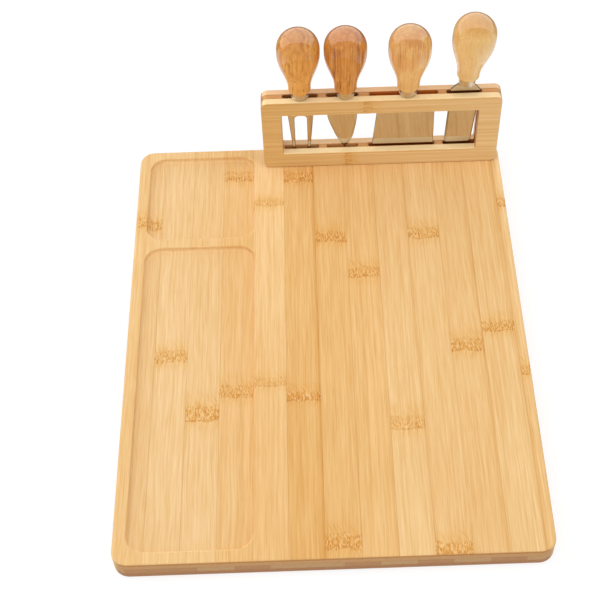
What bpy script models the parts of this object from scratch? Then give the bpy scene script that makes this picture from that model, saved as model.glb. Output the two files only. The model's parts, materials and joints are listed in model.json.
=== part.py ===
"""Bamboo cheese board with a standing knife holder and four lift-out cheese knives.

The board is laminated from three plies of edge-glued bamboo staves.  Two shallow trays are routed
into its top on the left.  A three-ply holder stands along the back right edge, glued down and held
by two screws from below, and the knives hang in its slots.

Metres, +Z up.  The origin is the centre of the board's underside, +Y points to the back edge.
"""

import math

import bmesh
import bpy
from mathutils import Matrix, Vector

# Joints and clearances
GLUE_LINE = 0.0002
SEAT_GAP = 0.0003
CUT_OVERRUN = 0.002
MERGE_DISTANCE = 0.00001

# Board
BOARD_WIDTH = 0.260
BOARD_DEPTH = 0.330
BOARD_CORNER = 0.010
BOARD_EDGE_ROUND = 0.0015
TOP_PLY = 0.0049
CORE_PLY = 0.0048
BOTTOM_PLY = 0.0049

# Staves, counted from the left edge
STAVE_PITCH = 0.0214
FIRST_STAVE = 0.0181
NARROWEST_STAVE = 0.003

# Trays
TRAY_LEFT_MARGIN = 0.0080
TRAY_BACK_MARGIN = 0.0072
TRAY_FRONT_MARGIN = 0.0085
TRAY_RIB = 0.0078
TRAY_WIDTH = 0.0752
SMALL_TRAY_LENGTH = 0.0765
TRAY_CORNER = 0.011
TRAY_DEPTH = 0.0040
TRAY_COVE = 0.0028

# Knife holder
HOLDER_LENGTH = 0.1666
HOLDER_HEIGHT = 0.0629
HOLDER_RIGHT_INSET = 0.0031
HOLDER_BACK_INSET = 0.0051
HOLDER_CORNER = 0.005
HOLDER_EDGE_ROUND = 0.0006
OUTER_PLY = 0.0050
MIDDLE_PLY = 0.0036
LEFT_STILE = 0.0139
RIGHT_STILE = 0.0156
TOP_RAIL = 0.0122
BOTTOM_RAIL = 0.0135
WINDOW_CORNER = 0.001

# Slots through the top rail, each with a blind slot below it in the bottom rail
FIRST_SLOT_INSET = 0.0147
FORK_SLOT = 0.0250
SPADE_SLOT = 0.0226
CLEAVER_SLOT = 0.0480
CHISEL_SLOT = 0.0250
FORK_SPADE_DIVIDER = 0.0054
SPADE_CLEAVER_DIVIDER = 0.0070
CLEAVER_CHISEL_DIVIDER = 0.0052
BLIND_SLOT_DEPTH = 0.0080

# Screws that hold the holder
SCREW_INSET = 0.0080
SCREW_RADIUS = 0.0020
SCREW_HEAD_RADIUS = 0.00375
SCREW_HEAD_RIM = 0.0003
SCREW_TIP = 0.003
SCREW_GRIP = 0.010
SCREW_RECESS_SPAN = 0.0044
SCREW_RECESS_WIDTH = 0.0009
SCREW_RECESS_DEPTH = 0.0016

# Handles: a pear with a spigot that sits in the ferrule
HANDLE_LENGTH = 0.0504
HANDLE_RADIUS = 0.0145
HANDLE_NECK_RADIUS = 0.0079
HANDLE_BASE_ROUND = 0.0016
HANDLE_DOME = 0.0147
DOME_POWER = 2.2
SPIGOT_RADIUS = 0.0050

# Ferrules
FERRULE_RADIUS = 0.0059
FERRULE_WALL = 0.0006
FERRULE_FLOOR = 0.0008
FERRULE_HEIGHT = 0.0055

# Blades
BLADE_THICKNESS = 0.0015
TANG_WIDTH = 0.0044
TANG_LENGTH = 0.0260
NECK_WIDTH = 0.0100
SHOULDER_DROP = 0.0110

FORK_WIDTH = 0.0190
FORK_LENGTH = 0.0550
FORK_TINE_GAP = 0.0088
FORK_TINE_TIP = 0.0016
FORK_GAP_TOP = 0.0190
FORK_GAP_ROUND = 0.0032

SPADE_OFFSET = 0.0023
SPADE_LEFT = 0.0130
SPADE_RIGHT = 0.0080
SPADE_LENGTH = 0.0510
SPADE_TIP_SHIFT = -0.0007

CLEAVER_OFFSET = 0.0030
CLEAVER_LEFT = 0.0206
CLEAVER_RIGHT = 0.0190
CLEAVER_LEFT_FLARE = 0.0040
CLEAVER_RIGHT_FLARE = 0.0006
CLEAVER_LENGTH = 0.0550
CLEAVER_TIP_ROUND = 0.0015

CHISEL_OFFSET = 0.0008
CHISEL_LEAN_DEG = 3.34
CHISEL_RISE = 0.0080
CHISEL_WIDTH = 0.0205
CHISEL_TIP_WIDTH = 0.0188
CHISEL_SHOULDER_DROP = 0.0060

# How finely round stretches are cut
CORNER_STEPS = 7
ROUND_STEPS = 3
COVE_STEPS = 4
TURN_STEPS = 24
DOME_STEPS = 7
TAPER_STEPS = 7

# Shares of a blade's own width and length
SPADE_LEFT_SHARES = ((1.00, 0.30), (0.95, 0.43), (0.76, 0.60), (0.47, 0.81))
SPADE_RIGHT_SHARES = ((1.00, 0.30), (0.98, 0.43), (0.84, 0.61), (0.55, 0.82))

# Derived levels and faces
BOARD_TOP = BOTTOM_PLY + CORE_PLY + TOP_PLY + 2 * GLUE_LINE
HOLDER_THICKNESS = 2 * OUTER_PLY + MIDDLE_PLY + 2 * GLUE_LINE
HOLDER_BOTTOM = BOARD_TOP + GLUE_LINE
HOLDER_TOP = HOLDER_BOTTOM + HOLDER_HEIGHT
HOLDER_RIGHT = BOARD_WIDTH / 2 - HOLDER_RIGHT_INSET
HOLDER_LEFT = HOLDER_RIGHT - HOLDER_LENGTH
HOLDER_BACK = BOARD_DEPTH / 2 - HOLDER_BACK_INSET
HOLDER_FRONT = HOLDER_BACK - HOLDER_THICKNESS
SLOT_WIDTH = MIDDLE_PLY + 2 * GLUE_LINE
SLOT_Y = (HOLDER_FRONT + HOLDER_BACK) / 2
MIDDLE_FRONT = SLOT_Y - MIDDLE_PLY / 2
MIDDLE_BACK = SLOT_Y + MIDDLE_PLY / 2
WINDOW_LEFT = HOLDER_LEFT + LEFT_STILE
WINDOW_RIGHT = HOLDER_RIGHT - RIGHT_STILE
WINDOW_BOTTOM = HOLDER_BOTTOM + BOTTOM_RAIL
WINDOW_TOP = HOLDER_TOP - TOP_RAIL
SLOT_FLOOR = WINDOW_BOTTOM - BLIND_SLOT_DEPTH

BAMBOO = ((0.87, 0.62, 0.33), 0.45, 0.0)
BAMBOO_DARK = ((0.62, 0.34, 0.16), 0.5, 0.0)
RUBBERWOOD = ((0.75, 0.45, 0.19), 0.3, 0.0)
STEEL = ((0.80, 0.80, 0.78), 0.12, 1.0)
ZINC = ((0.70, 0.70, 0.68), 0.35, 1.0)


def clear_scene():
    """Remove every object, so that a second run starts from nothing."""
    for obj in list(bpy.data.objects):
        bpy.data.objects.remove(obj, do_unlink=True)


def new_collection(name):
    """Make a collection and link it to the scene."""
    made = bpy.data.collections.new(name)
    bpy.context.scene.collection.children.link(made)
    return made


def finish_material(name, look):
    """Make a Principled material from a colour, a roughness and a metallic value."""
    colour, roughness, metallic = look
    material = bpy.data.materials.new(name)
    material.use_nodes = True
    shader = material.node_tree.nodes["Principled BSDF"]
    shader.inputs["Base Color"].default_value = (*colour, 1.0)
    shader.inputs["Roughness"].default_value = roughness
    shader.inputs["Metallic"].default_value = metallic
    return material


clear_scene()
PARTS = new_collection("cheese_board")
CUTTERS = new_collection("cutters")


def add_part(name, data, look, parent=None):
    """Add one piece of the product, with a material of its own."""
    obj = bpy.data.objects.new(name, data)
    data.materials.append(finish_material(name, look))
    PARTS.objects.link(obj)
    obj.parent = parent
    return obj


def add_cutter(name, data):
    """Add a shape that only cuts others."""
    obj = bpy.data.objects.new(name, data)
    CUTTERS.objects.link(obj)
    obj.hide_render = True
    obj.display_type = "WIRE"
    return obj


def boolean(obj, cutter, operation="DIFFERENCE"):
    """Cut a piece with another object, or keep what the two share."""
    modifier = obj.modifiers.new(f"{operation.lower()}_{cutter.name}", "BOOLEAN")
    modifier.operation = operation
    modifier.solver = "EXACT"
    modifier.object = cutter
    return modifier


def edges_along(bm, axis):
    """Give the edges of a block that run along one axis, 0 for X, 1 for Y and 2 for Z."""
    found = []
    for edge in bm.edges:
        run = edge.verts[1].co - edge.verts[0].co
        if abs(run[axis]) > run.length / 2:
            found.append(edge)
    return found


def rim_edges(bm, axis, level):
    """Give the edges that lie round the face of a block at one end of an axis."""
    return [e for e in bm.edges if all(abs(v.co[axis] - level) < MERGE_DISTANCE for v in e.verts)]


def block_mesh(name, low, high, axis=2, corner=0.0, low_round=0.0, high_round=0.0, steps=ROUND_STEPS):
    """Make a box whose edges along one axis, and whose two end rims, can be rounded."""
    low, high = Vector(low), Vector(high)
    bm = bmesh.new()
    bmesh.ops.create_cube(bm, size=1.0)
    size = high - low
    bmesh.ops.scale(bm, vec=size, verts=bm.verts)
    bmesh.ops.translate(bm, vec=(low + high) / 2, verts=bm.verts)
    if corner:
        bmesh.ops.bevel(bm, geom=edges_along(bm, axis), offset=corner, segments=CORNER_STEPS,
                        profile=0.5, affect="EDGES", clamp_overlap=True)
    for level, radius in ((low[axis], low_round), (high[axis], high_round)):
        if radius:
            bmesh.ops.bevel(bm, geom=rim_edges(bm, axis, level), offset=radius, segments=steps,
                            profile=0.5, affect="EDGES", clamp_overlap=True)
    bmesh.ops.recalc_face_normals(bm, faces=bm.faces)
    mesh = bpy.data.meshes.new(name)
    bm.to_mesh(mesh)
    bm.free()
    return mesh


def turned(obj):
    """Sweep an object's profile once round Z."""
    screw = obj.modifiers.new("turn", "SCREW")
    screw.axis = "Z"
    screw.steps = TURN_STEPS
    screw.render_steps = TURN_STEPS
    screw.use_merge_vertices = True
    screw.merge_threshold = MERGE_DISTANCE
    screw.use_smooth_shade = True
    return screw


def profile_mesh(name, points):
    """Make an open line of edges from (radius, height) pairs, top to bottom."""
    mesh = bpy.data.meshes.new(name)
    edges = [(i, i + 1) for i in range(len(points) - 1)]
    mesh.from_pydata([(r, 0.0, z) for r, z in points], edges, [])
    return mesh


def stave_edges(first_width):
    """Give the places of the glue lines between staves, with the board's two edges at the ends."""
    left, right = -BOARD_WIDTH / 2, BOARD_WIDTH / 2
    edges = [left]
    line = left + first_width
    while right - line > NARROWEST_STAVE:
        if line - left > NARROWEST_STAVE:
            edges.append(line)
        line += STAVE_PITCH
    return edges + [right]


def make_ply(name, bottom, thickness, first_width, low_round, high_round, look):
    """Saw one ply's rounded blank into staves that keep a glue line between them."""
    half_width, half_depth = BOARD_WIDTH / 2, BOARD_DEPTH / 2
    blank = add_cutter(f"{name}_blank", block_mesh(
        f"{name}_blank", (-half_width, -half_depth, bottom), (half_width, half_depth, bottom + thickness),
        corner=BOARD_CORNER, low_round=low_round, high_round=high_round))
    edges = stave_edges(first_width)
    staves = []
    for i in range(len(edges) - 1):
        left = edges[i] + (GLUE_LINE / 2 if i else -CUT_OVERRUN)
        right = edges[i + 1] - (GLUE_LINE / 2 if i < len(edges) - 2 else -CUT_OVERRUN)
        data = block_mesh(f"{name}_{i + 1:02d}", (left, -half_depth - CUT_OVERRUN, bottom - CUT_OVERRUN),
                          (right, half_depth + CUT_OVERRUN, bottom + thickness + CUT_OVERRUN))
        stave = add_part(f"{name}_{i + 1:02d}", data, look)
        boolean(stave, blank, "INTERSECT")
        staves.append((stave, left, right))
    return staves


def cut_staves(staves, cutter, low, high):
    """Cut the staves that reach into a stretch of X."""
    for stave, left, right in staves:
        if left < high and right > low:
            boolean(stave, cutter)


def tray_cutters():
    """Make the two tray shapes, with coved floors, and give each with its left and right."""
    left = -BOARD_WIDTH / 2 + TRAY_LEFT_MARGIN
    right = left + TRAY_WIDTH
    back = BOARD_DEPTH / 2 - TRAY_BACK_MARGIN
    rib_back = back - SMALL_TRAY_LENGTH
    rib_front = rib_back - TRAY_RIB
    front = -BOARD_DEPTH / 2 + TRAY_FRONT_MARGIN
    made = []
    for name, low_y, high_y in (("small_tray", rib_back, back), ("long_tray", front, rib_front)):
        data = block_mesh(name, (left, low_y, BOARD_TOP - TRAY_DEPTH), (right, high_y, BOARD_TOP + CUT_OVERRUN),
                          corner=TRAY_CORNER, low_round=TRAY_COVE, steps=COVE_STEPS)
        made.append((add_cutter(name, data), left, right))
    return made


def slot_spans():
    """Give each slot's left and right end, from left to right."""
    lengths = (FORK_SLOT, SPADE_SLOT, CLEAVER_SLOT, CHISEL_SLOT)
    gaps = (FORK_SPADE_DIVIDER, SPADE_CLEAVER_DIVIDER, CLEAVER_CHISEL_DIVIDER, 0.0)
    spans = []
    left = HOLDER_LEFT + FIRST_SLOT_INSET
    for length, gap in zip(lengths, gaps):
        spans.append((left, left + length))
        left += length + gap
    return spans


def slot_cutters(spans):
    """Make one round-ended cutter a slot, through the top rail and down to the blind floor."""
    made = []
    for i, (left, right) in enumerate(spans):
        data = block_mesh(f"slot_{i + 1}", (left, SLOT_Y - SLOT_WIDTH / 2, SLOT_FLOOR),
                          (right, SLOT_Y + SLOT_WIDTH / 2, HOLDER_TOP + CUT_OVERRUN), corner=SLOT_WIDTH / 2)
        made.append(add_cutter(f"slot_{i + 1}", data))
    return made


def make_outer_ply(name, front, window, front_round, back_round):
    """Make the holder's front or back ply, which frames the window, with its outer rim eased."""
    low = (HOLDER_LEFT, front, HOLDER_BOTTOM)
    high = (HOLDER_RIGHT, front + OUTER_PLY, HOLDER_TOP)
    data = block_mesh(name, low, high, axis=1, corner=HOLDER_CORNER, low_round=front_round, high_round=back_round)
    ply = add_part(name, data, BAMBOO)
    boolean(ply, window)
    return ply


def make_holder():
    """Make the holder's plies and dividers, and give the pieces that its screws go into."""
    window = add_cutter("window", block_mesh(
        "window", (WINDOW_LEFT, HOLDER_FRONT - CUT_OVERRUN, WINDOW_BOTTOM),
        (WINDOW_RIGHT, HOLDER_BACK + CUT_OVERRUN, WINDOW_TOP), axis=1, corner=WINDOW_CORNER))
    front = make_outer_ply("holder_front_ply", HOLDER_FRONT, window, HOLDER_EDGE_ROUND, 0.0)
    back = make_outer_ply("holder_back_ply", HOLDER_BACK - OUTER_PLY, window, 0.0, HOLDER_EDGE_ROUND)

    spans = slot_spans()
    slots = slot_cutters(spans)
    middles = [(left + right) / 2 for left, right in spans]
    middle = add_part("holder_middle_ply", block_mesh(
        "holder_middle_ply", (HOLDER_LEFT, MIDDLE_FRONT, HOLDER_BOTTOM), (HOLDER_RIGHT, MIDDLE_BACK, HOLDER_TOP),
        axis=1, corner=HOLDER_CORNER), BAMBOO_DARK)
    gap = add_cutter("top_rail_gap", block_mesh(
        "top_rail_gap", (middles[0], MIDDLE_FRONT - CUT_OVERRUN, (WINDOW_BOTTOM + WINDOW_TOP) / 2),
        (middles[-1], MIDDLE_BACK + CUT_OVERRUN, HOLDER_TOP + CUT_OVERRUN)))
    for cutter in [window, gap] + slots:
        boolean(middle, cutter)

    for i in range(len(spans) - 1):
        name = f"holder_divider_{i + 1}"
        divider = add_part(name, block_mesh(
            name, (middles[i], MIDDLE_FRONT, WINDOW_TOP), (middles[i + 1], MIDDLE_BACK, HOLDER_TOP)), BAMBOO_DARK)
        boolean(divider, slots[i])
        boolean(divider, slots[i + 1])
    return [front, middle, back]


def screw_profile(clearance=0.0):
    """Give a countersunk screw's half outline, tip up, or that of its hole with a clearance."""
    tip = HOLDER_BOTTOM + SCREW_GRIP + clearance
    radius = SCREW_RADIUS + clearance
    head = SCREW_HEAD_RADIUS + clearance
    rim = SEAT_GAP + SCREW_HEAD_RIM
    floor = -CUT_OVERRUN if clearance else SEAT_GAP
    cone = rim + head - radius
    return [(0.0, tip), (radius, tip - SCREW_TIP), (radius, cone), (head, rim), (head, floor), (0.0, floor)]


def make_screws(plies, holder_pieces):
    """Drive two countersunk screws up through the board into the holder's stiles."""
    places = (("left", HOLDER_LEFT + SCREW_INSET), ("right", HOLDER_RIGHT - SCREW_INSET))
    arm = SCREW_RECESS_SPAN / 2
    half = SCREW_RECESS_WIDTH / 2
    deep = SEAT_GAP + SCREW_RECESS_DEPTH
    for side, x in places:
        hole = add_cutter(f"screw_hole_{side}", profile_mesh("screw_hole", screw_profile(SEAT_GAP)))
        turned(hole)
        hole.location = (x, SLOT_Y, 0.0)
        reach = SCREW_HEAD_RADIUS + SEAT_GAP
        for staves in plies:
            cut_staves(staves, hole, x - reach, x + reach)
        for piece in holder_pieces:
            boolean(piece, hole)
        screw = add_part(f"holder_screw_{side}", profile_mesh("holder_screw", screw_profile()), ZINC)
        turned(screw)
        screw.location = (x, SLOT_Y, 0.0)
        for way, span in (("x", (arm, half)), ("y", (half, arm))):
            bar = add_cutter(f"recess_{side}_{way}", block_mesh(
                "recess", (-span[0], -span[1], -CUT_OVERRUN), (span[0], span[1], deep)))
            bar.location = screw.location
            boolean(screw, bar)


def handle_profile():
    """Give the pear's half outline from its dome down to the end of its spigot."""
    base = FERRULE_HEIGHT + GLUE_LINE
    top = base + HANDLE_LENGTH
    widest = top - HANDLE_DOME
    points = [(0.0, top)]
    for i in range(1, DOME_STEPS + 1):
        angle = math.pi / 2 * (1 - i / DOME_STEPS)
        radius = HANDLE_RADIUS * math.cos(angle) ** (2 / DOME_POWER)
        points.append((radius, widest + HANDLE_DOME * math.sin(angle) ** (2 / DOME_POWER)))
    waist = base + HANDLE_BASE_ROUND
    for i in range(1, TAPER_STEPS + 1):
        share = 1 - i / TAPER_STEPS
        swell = (1 - math.cos(math.pi * share)) / 2
        radius = HANDLE_NECK_RADIUS + (HANDLE_RADIUS - HANDLE_NECK_RADIUS) * swell
        points.append((radius, waist + (widest - waist) * share))
    for i in range(1, ROUND_STEPS + 1):
        angle = math.pi / 2 * i / ROUND_STEPS
        points.append((HANDLE_NECK_RADIUS - HANDLE_BASE_ROUND * (1 - math.cos(angle)),
                       waist - HANDLE_BASE_ROUND * math.sin(angle)))
    end = FERRULE_FLOOR + SEAT_GAP
    return points + [(SPIGOT_RADIUS, base), (SPIGOT_RADIUS, end), (0.0, end)]


def ferrule_profile():
    """Give the half outline of a cup that is open at its top."""
    bore = FERRULE_RADIUS - FERRULE_WALL
    return [(0.0, FERRULE_FLOOR), (bore, FERRULE_FLOOR), (bore, FERRULE_HEIGHT),
            (FERRULE_RADIUS, FERRULE_HEIGHT), (FERRULE_RADIUS, 0.0), (0.0, 0.0)]


def half_outline_top(side):
    """Give the tang's and the neck's points on one side, from the tang's end down."""
    return [(side * TANG_WIDTH / 2, TANG_LENGTH), (side * TANG_WIDTH / 2, -SEAT_GAP),
            (side * NECK_WIDTH / 2, -SEAT_GAP)]


def arc_points(centre, radius, start, end, steps):
    """Give points on an arc between two angles in quarter turns, both ends included."""
    made = []
    for i in range(steps + 1):
        angle = math.pi / 2 * (start + (end - start) * i / steps)
        made.append((centre[0] + radius * math.cos(angle), centre[1] + radius * math.sin(angle)))
    return made


def shoulder(side, width, drop):
    """Give an S-shaped shoulder from the neck out to the blade's full width."""
    made = []
    for i in range(1, ROUND_STEPS + 2):
        share = i / (ROUND_STEPS + 1)
        swell = (1 - math.cos(math.pi * share)) / 2
        made.append((side * (NECK_WIDTH / 2 + (width - NECK_WIDTH / 2) * swell), -SEAT_GAP - drop * share))
    return made


def fork_outline():
    """Give a two-tine fork: tapering tines with a flat-topped arch between them."""
    half, gap = FORK_WIDTH / 2, FORK_TINE_GAP / 2
    sides = []
    for side in (1, -1):
        outer = half_outline_top(side) + shoulder(side, half, SHOULDER_DROP)
        tip = [(side * (gap + FORK_TINE_TIP), -FORK_LENGTH + FORK_TINE_TIP),
               (side * (gap + FORK_TINE_TIP / 2), -FORK_LENGTH), (side * gap, -FORK_LENGTH + FORK_TINE_TIP)]
        sides.append(outer + tip)
    corner = gap - FORK_GAP_ROUND
    level = -FORK_GAP_TOP - FORK_GAP_ROUND
    arch = arc_points((corner, level), FORK_GAP_ROUND, 0, 1, ROUND_STEPS)
    arch += arc_points((-corner, level), FORK_GAP_ROUND, 1, 2, ROUND_STEPS)
    return sides[0] + arch + sides[1][::-1]


def spade_outline():
    """Give a pointed blade, straighter on its left edge and fuller on its right."""
    right = half_outline_top(1) + shoulder(1, SPADE_RIGHT, SHOULDER_DROP)
    left = half_outline_top(-1) + shoulder(-1, SPADE_LEFT, SHOULDER_DROP)
    right += [(SPADE_RIGHT * x, -SPADE_LENGTH * z) for x, z in SPADE_RIGHT_SHARES]
    left += [(-SPADE_LEFT * x, -SPADE_LENGTH * z) for x, z in SPADE_LEFT_SHARES]
    return right + [(SPADE_TIP_SHIFT, -SPADE_LENGTH)] + left[::-1]


def cleaver_outline():
    """Give a wide blade that flares towards its edge and reaches further to the left."""
    right = half_outline_top(1) + shoulder(1, CLEAVER_RIGHT, SHOULDER_DROP)
    left = half_outline_top(-1) + shoulder(-1, CLEAVER_LEFT, SHOULDER_DROP)
    low = -CLEAVER_LENGTH + CLEAVER_TIP_ROUND
    right_end = CLEAVER_RIGHT + CLEAVER_RIGHT_FLARE - CLEAVER_TIP_ROUND
    left_end = CLEAVER_LEFT + CLEAVER_LEFT_FLARE - CLEAVER_TIP_ROUND
    right += arc_points((right_end, low), CLEAVER_TIP_ROUND, 0, -1, ROUND_STEPS)
    left += arc_points((-left_end, low), CLEAVER_TIP_ROUND, 2, 3, ROUND_STEPS)
    return right + left[::-1]


def chisel_length():
    """Give the length that brings the raised knife's edge to the blind slot's floor."""
    lean = math.radians(CHISEL_LEAN_DEG)
    down = HOLDER_TOP + CHISEL_RISE - SLOT_FLOOR - SEAT_GAP
    return (down - math.sin(lean) * CHISEL_TIP_WIDTH / 2) / math.cos(lean)


def chisel_outline():
    """Give a straight blade with sloping shoulders, slightly narrower at its edge."""
    drop = chisel_length()
    half, tip = CHISEL_WIDTH / 2, CHISEL_TIP_WIDTH / 2
    sides = []
    for side in (1, -1):
        sides.append(half_outline_top(side) + shoulder(side, half, CHISEL_SHOULDER_DROP) + [(side * tip, -drop)])
    return sides[0] + sides[1][::-1]


def outline_curve(name, points):
    """Make a filled flat outline, as thick as a blade."""
    curve = bpy.data.curves.new(name, "CURVE")
    curve.dimensions = "2D"
    curve.fill_mode = "BOTH"
    curve.extrude = BLADE_THICKNESS / 2
    spline = curve.splines.new("POLY")
    spline.points.add(len(points) - 1)
    for point, (x, y) in zip(spline.points, points):
        point.co = (x, y, 0.0, 1.0)
    spline.use_cyclic_u = True
    return curve


def make_knife(name, x, outline, rise=0.0, lean_deg=0.0):
    """Make one knife on an empty that lies on its lift axis, at the ferrule's underside."""
    lean = math.radians(lean_deg)
    seat = Vector((x, SLOT_Y, HOLDER_TOP + SEAT_GAP))
    axis = bpy.data.objects.new(f"{name}_axis", None)
    PARTS.objects.link(axis)
    axis.location = seat + Vector((math.sin(lean), 0.0, math.cos(lean))) * rise
    axis.rotation_euler = (0.0, lean, 0.0)

    blade = add_part(f"{name}_blade", outline_curve(f"{name}_blade", outline), STEEL, axis)
    blade.rotation_euler = (math.pi / 2, 0.0, 0.0)
    ferrule = add_part(f"{name}_ferrule", profile_mesh(f"{name}_ferrule", ferrule_profile()), STEEL, axis)
    handle = add_part(f"{name}_handle", profile_mesh(f"{name}_handle", handle_profile()), RUBBERWOOD, axis)
    turned(ferrule)
    turned(handle)

    tang = (TANG_WIDTH / 2 + SEAT_GAP, BLADE_THICKNESS / 2 + SEAT_GAP)
    hole = add_cutter(f"{name}_tang_hole", block_mesh(
        f"{name}_tang_hole", (-tang[0], -tang[1], -CUT_OVERRUN), (*tang, TANG_LENGTH + SEAT_GAP)))
    hole.parent = axis
    boolean(ferrule, hole)
    boolean(handle, hole)
    return axis


def make_knives():
    """Hang the four knives in their slots, from left to right."""
    centres = [(left + right) / 2 for left, right in slot_spans()]
    make_knife("fork", centres[0], fork_outline())
    make_knife("spade", centres[1] + SPADE_OFFSET, spade_outline())
    make_knife("cleaver", centres[2] + CLEAVER_OFFSET, cleaver_outline())
    make_knife("chisel", centres[3] + CHISEL_OFFSET, chisel_outline(), CHISEL_RISE, CHISEL_LEAN_DEG)


def make_board():
    """Make the three plies of staves and rout the trays into the top one."""
    core_first = FIRST_STAVE - STAVE_PITCH / 2
    core_bottom = BOTTOM_PLY + GLUE_LINE
    top_bottom = core_bottom + CORE_PLY + GLUE_LINE
    bottom = make_ply("bottom_stave", 0.0, BOTTOM_PLY, FIRST_STAVE, BOARD_EDGE_ROUND, 0.0, BAMBOO)
    core = make_ply("core_stave", core_bottom, CORE_PLY, core_first, 0.0, 0.0, BAMBOO)
    top = make_ply("top_stave", top_bottom, TOP_PLY, FIRST_STAVE, 0.0, BOARD_EDGE_ROUND, BAMBOO)
    for tray, left, right in tray_cutters():
        cut_staves(top, tray, left, right)
    return [bottom, core, top]


def main():
    """Build the whole cheese board."""
    plies = make_board()
    holder_pieces = make_holder()
    make_screws(plies, holder_pieces)
    make_knives()


main()
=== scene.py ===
"""Dressed model of a bamboo cheese board with a standing knife holder and four cheese knives.

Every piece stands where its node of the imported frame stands.  Metres, +Z up, +Y to the back edge.
"""

import json
import logging
import math
from abc import ABC, abstractmethod
from dataclasses import dataclass, field, replace
from enum import Enum

import bmesh
import bpy
from mathutils import Matrix, Vector


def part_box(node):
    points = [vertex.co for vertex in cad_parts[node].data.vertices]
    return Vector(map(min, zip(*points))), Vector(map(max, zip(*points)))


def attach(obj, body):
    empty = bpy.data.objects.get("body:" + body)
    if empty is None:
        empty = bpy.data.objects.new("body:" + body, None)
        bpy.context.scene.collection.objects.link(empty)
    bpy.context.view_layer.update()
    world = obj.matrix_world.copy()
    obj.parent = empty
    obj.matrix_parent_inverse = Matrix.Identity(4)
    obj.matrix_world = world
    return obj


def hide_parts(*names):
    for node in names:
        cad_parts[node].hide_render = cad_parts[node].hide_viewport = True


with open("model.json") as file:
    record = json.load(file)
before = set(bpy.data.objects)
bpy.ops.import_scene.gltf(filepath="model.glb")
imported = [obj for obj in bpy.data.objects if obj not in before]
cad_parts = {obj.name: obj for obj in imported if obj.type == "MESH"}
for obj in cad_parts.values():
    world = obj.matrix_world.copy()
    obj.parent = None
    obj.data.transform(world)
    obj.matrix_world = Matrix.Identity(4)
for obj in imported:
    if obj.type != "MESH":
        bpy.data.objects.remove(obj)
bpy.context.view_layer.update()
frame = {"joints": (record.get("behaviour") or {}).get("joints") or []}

LOG = logging.getLogger("cheese_board")

Colour = tuple[float, float, float]
Point = tuple[float, float]
Socket = bpy.types.NodeSocket
Mesh = bpy.types.Mesh

MILLIMETRE = 0.001
HALF_GLUE = 0.0001       # half of the glue line between two plies of the solids
SEAM = 0.00004           # what is left open of a glue line
SWING = 0.05             # the circle that a turned profile is swept round
WELD = 0.000002          # points nearer than this are one
RIM = "rim"              # the attribute that marks a blade's cut edge
OVERRUN = 0.002          # how far a cutter passes the face that it cuts
SHARP = 38.0             # edges that turn more degrees than this stay sharp
BLADE_SHARP = 20.0


def srgb(red: float, green: float, blue: float) -> Colour:
    """Turn a colour as a screen shows it, 0 to 255, into the linear one that a shader takes."""
    def linear(value: float) -> float:
        share = value / 255.0
        return share / 12.92 if share <= 0.04045 else ((share + 0.055) / 1.055) ** 2.4
    return linear(red), linear(green), linear(blue)


class Tone(Enum):
    """The shades that bamboo strips are sorted into."""

    CREAM = srgb(239, 201, 145)
    STRAW = srgb(235, 196, 139)
    HONEY = srgb(232, 191, 132)
    GOLD = srgb(231, 187, 125)
    AMBER = srgb(224, 175, 108)
    FLAX = srgb(200, 160, 112)
    TOAST = srgb(204, 157, 104)
    DUN = srgb(190, 142, 96)
    CHESTNUT = srgb(180, 131, 90)
    PALE = srgb(252, 222, 168)
    SAND = srgb(231, 195, 140)
    SADDLE = srgb(218, 176, 109)
    PEACH = srgb(244, 203, 156)
    UMBER = srgb(210, 154, 96)


class Grain(Enum):
    """The way that the fibres of a piece run."""

    ALONG_BOARD = "Y"
    ALONG_HOLDER = "X"


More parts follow.
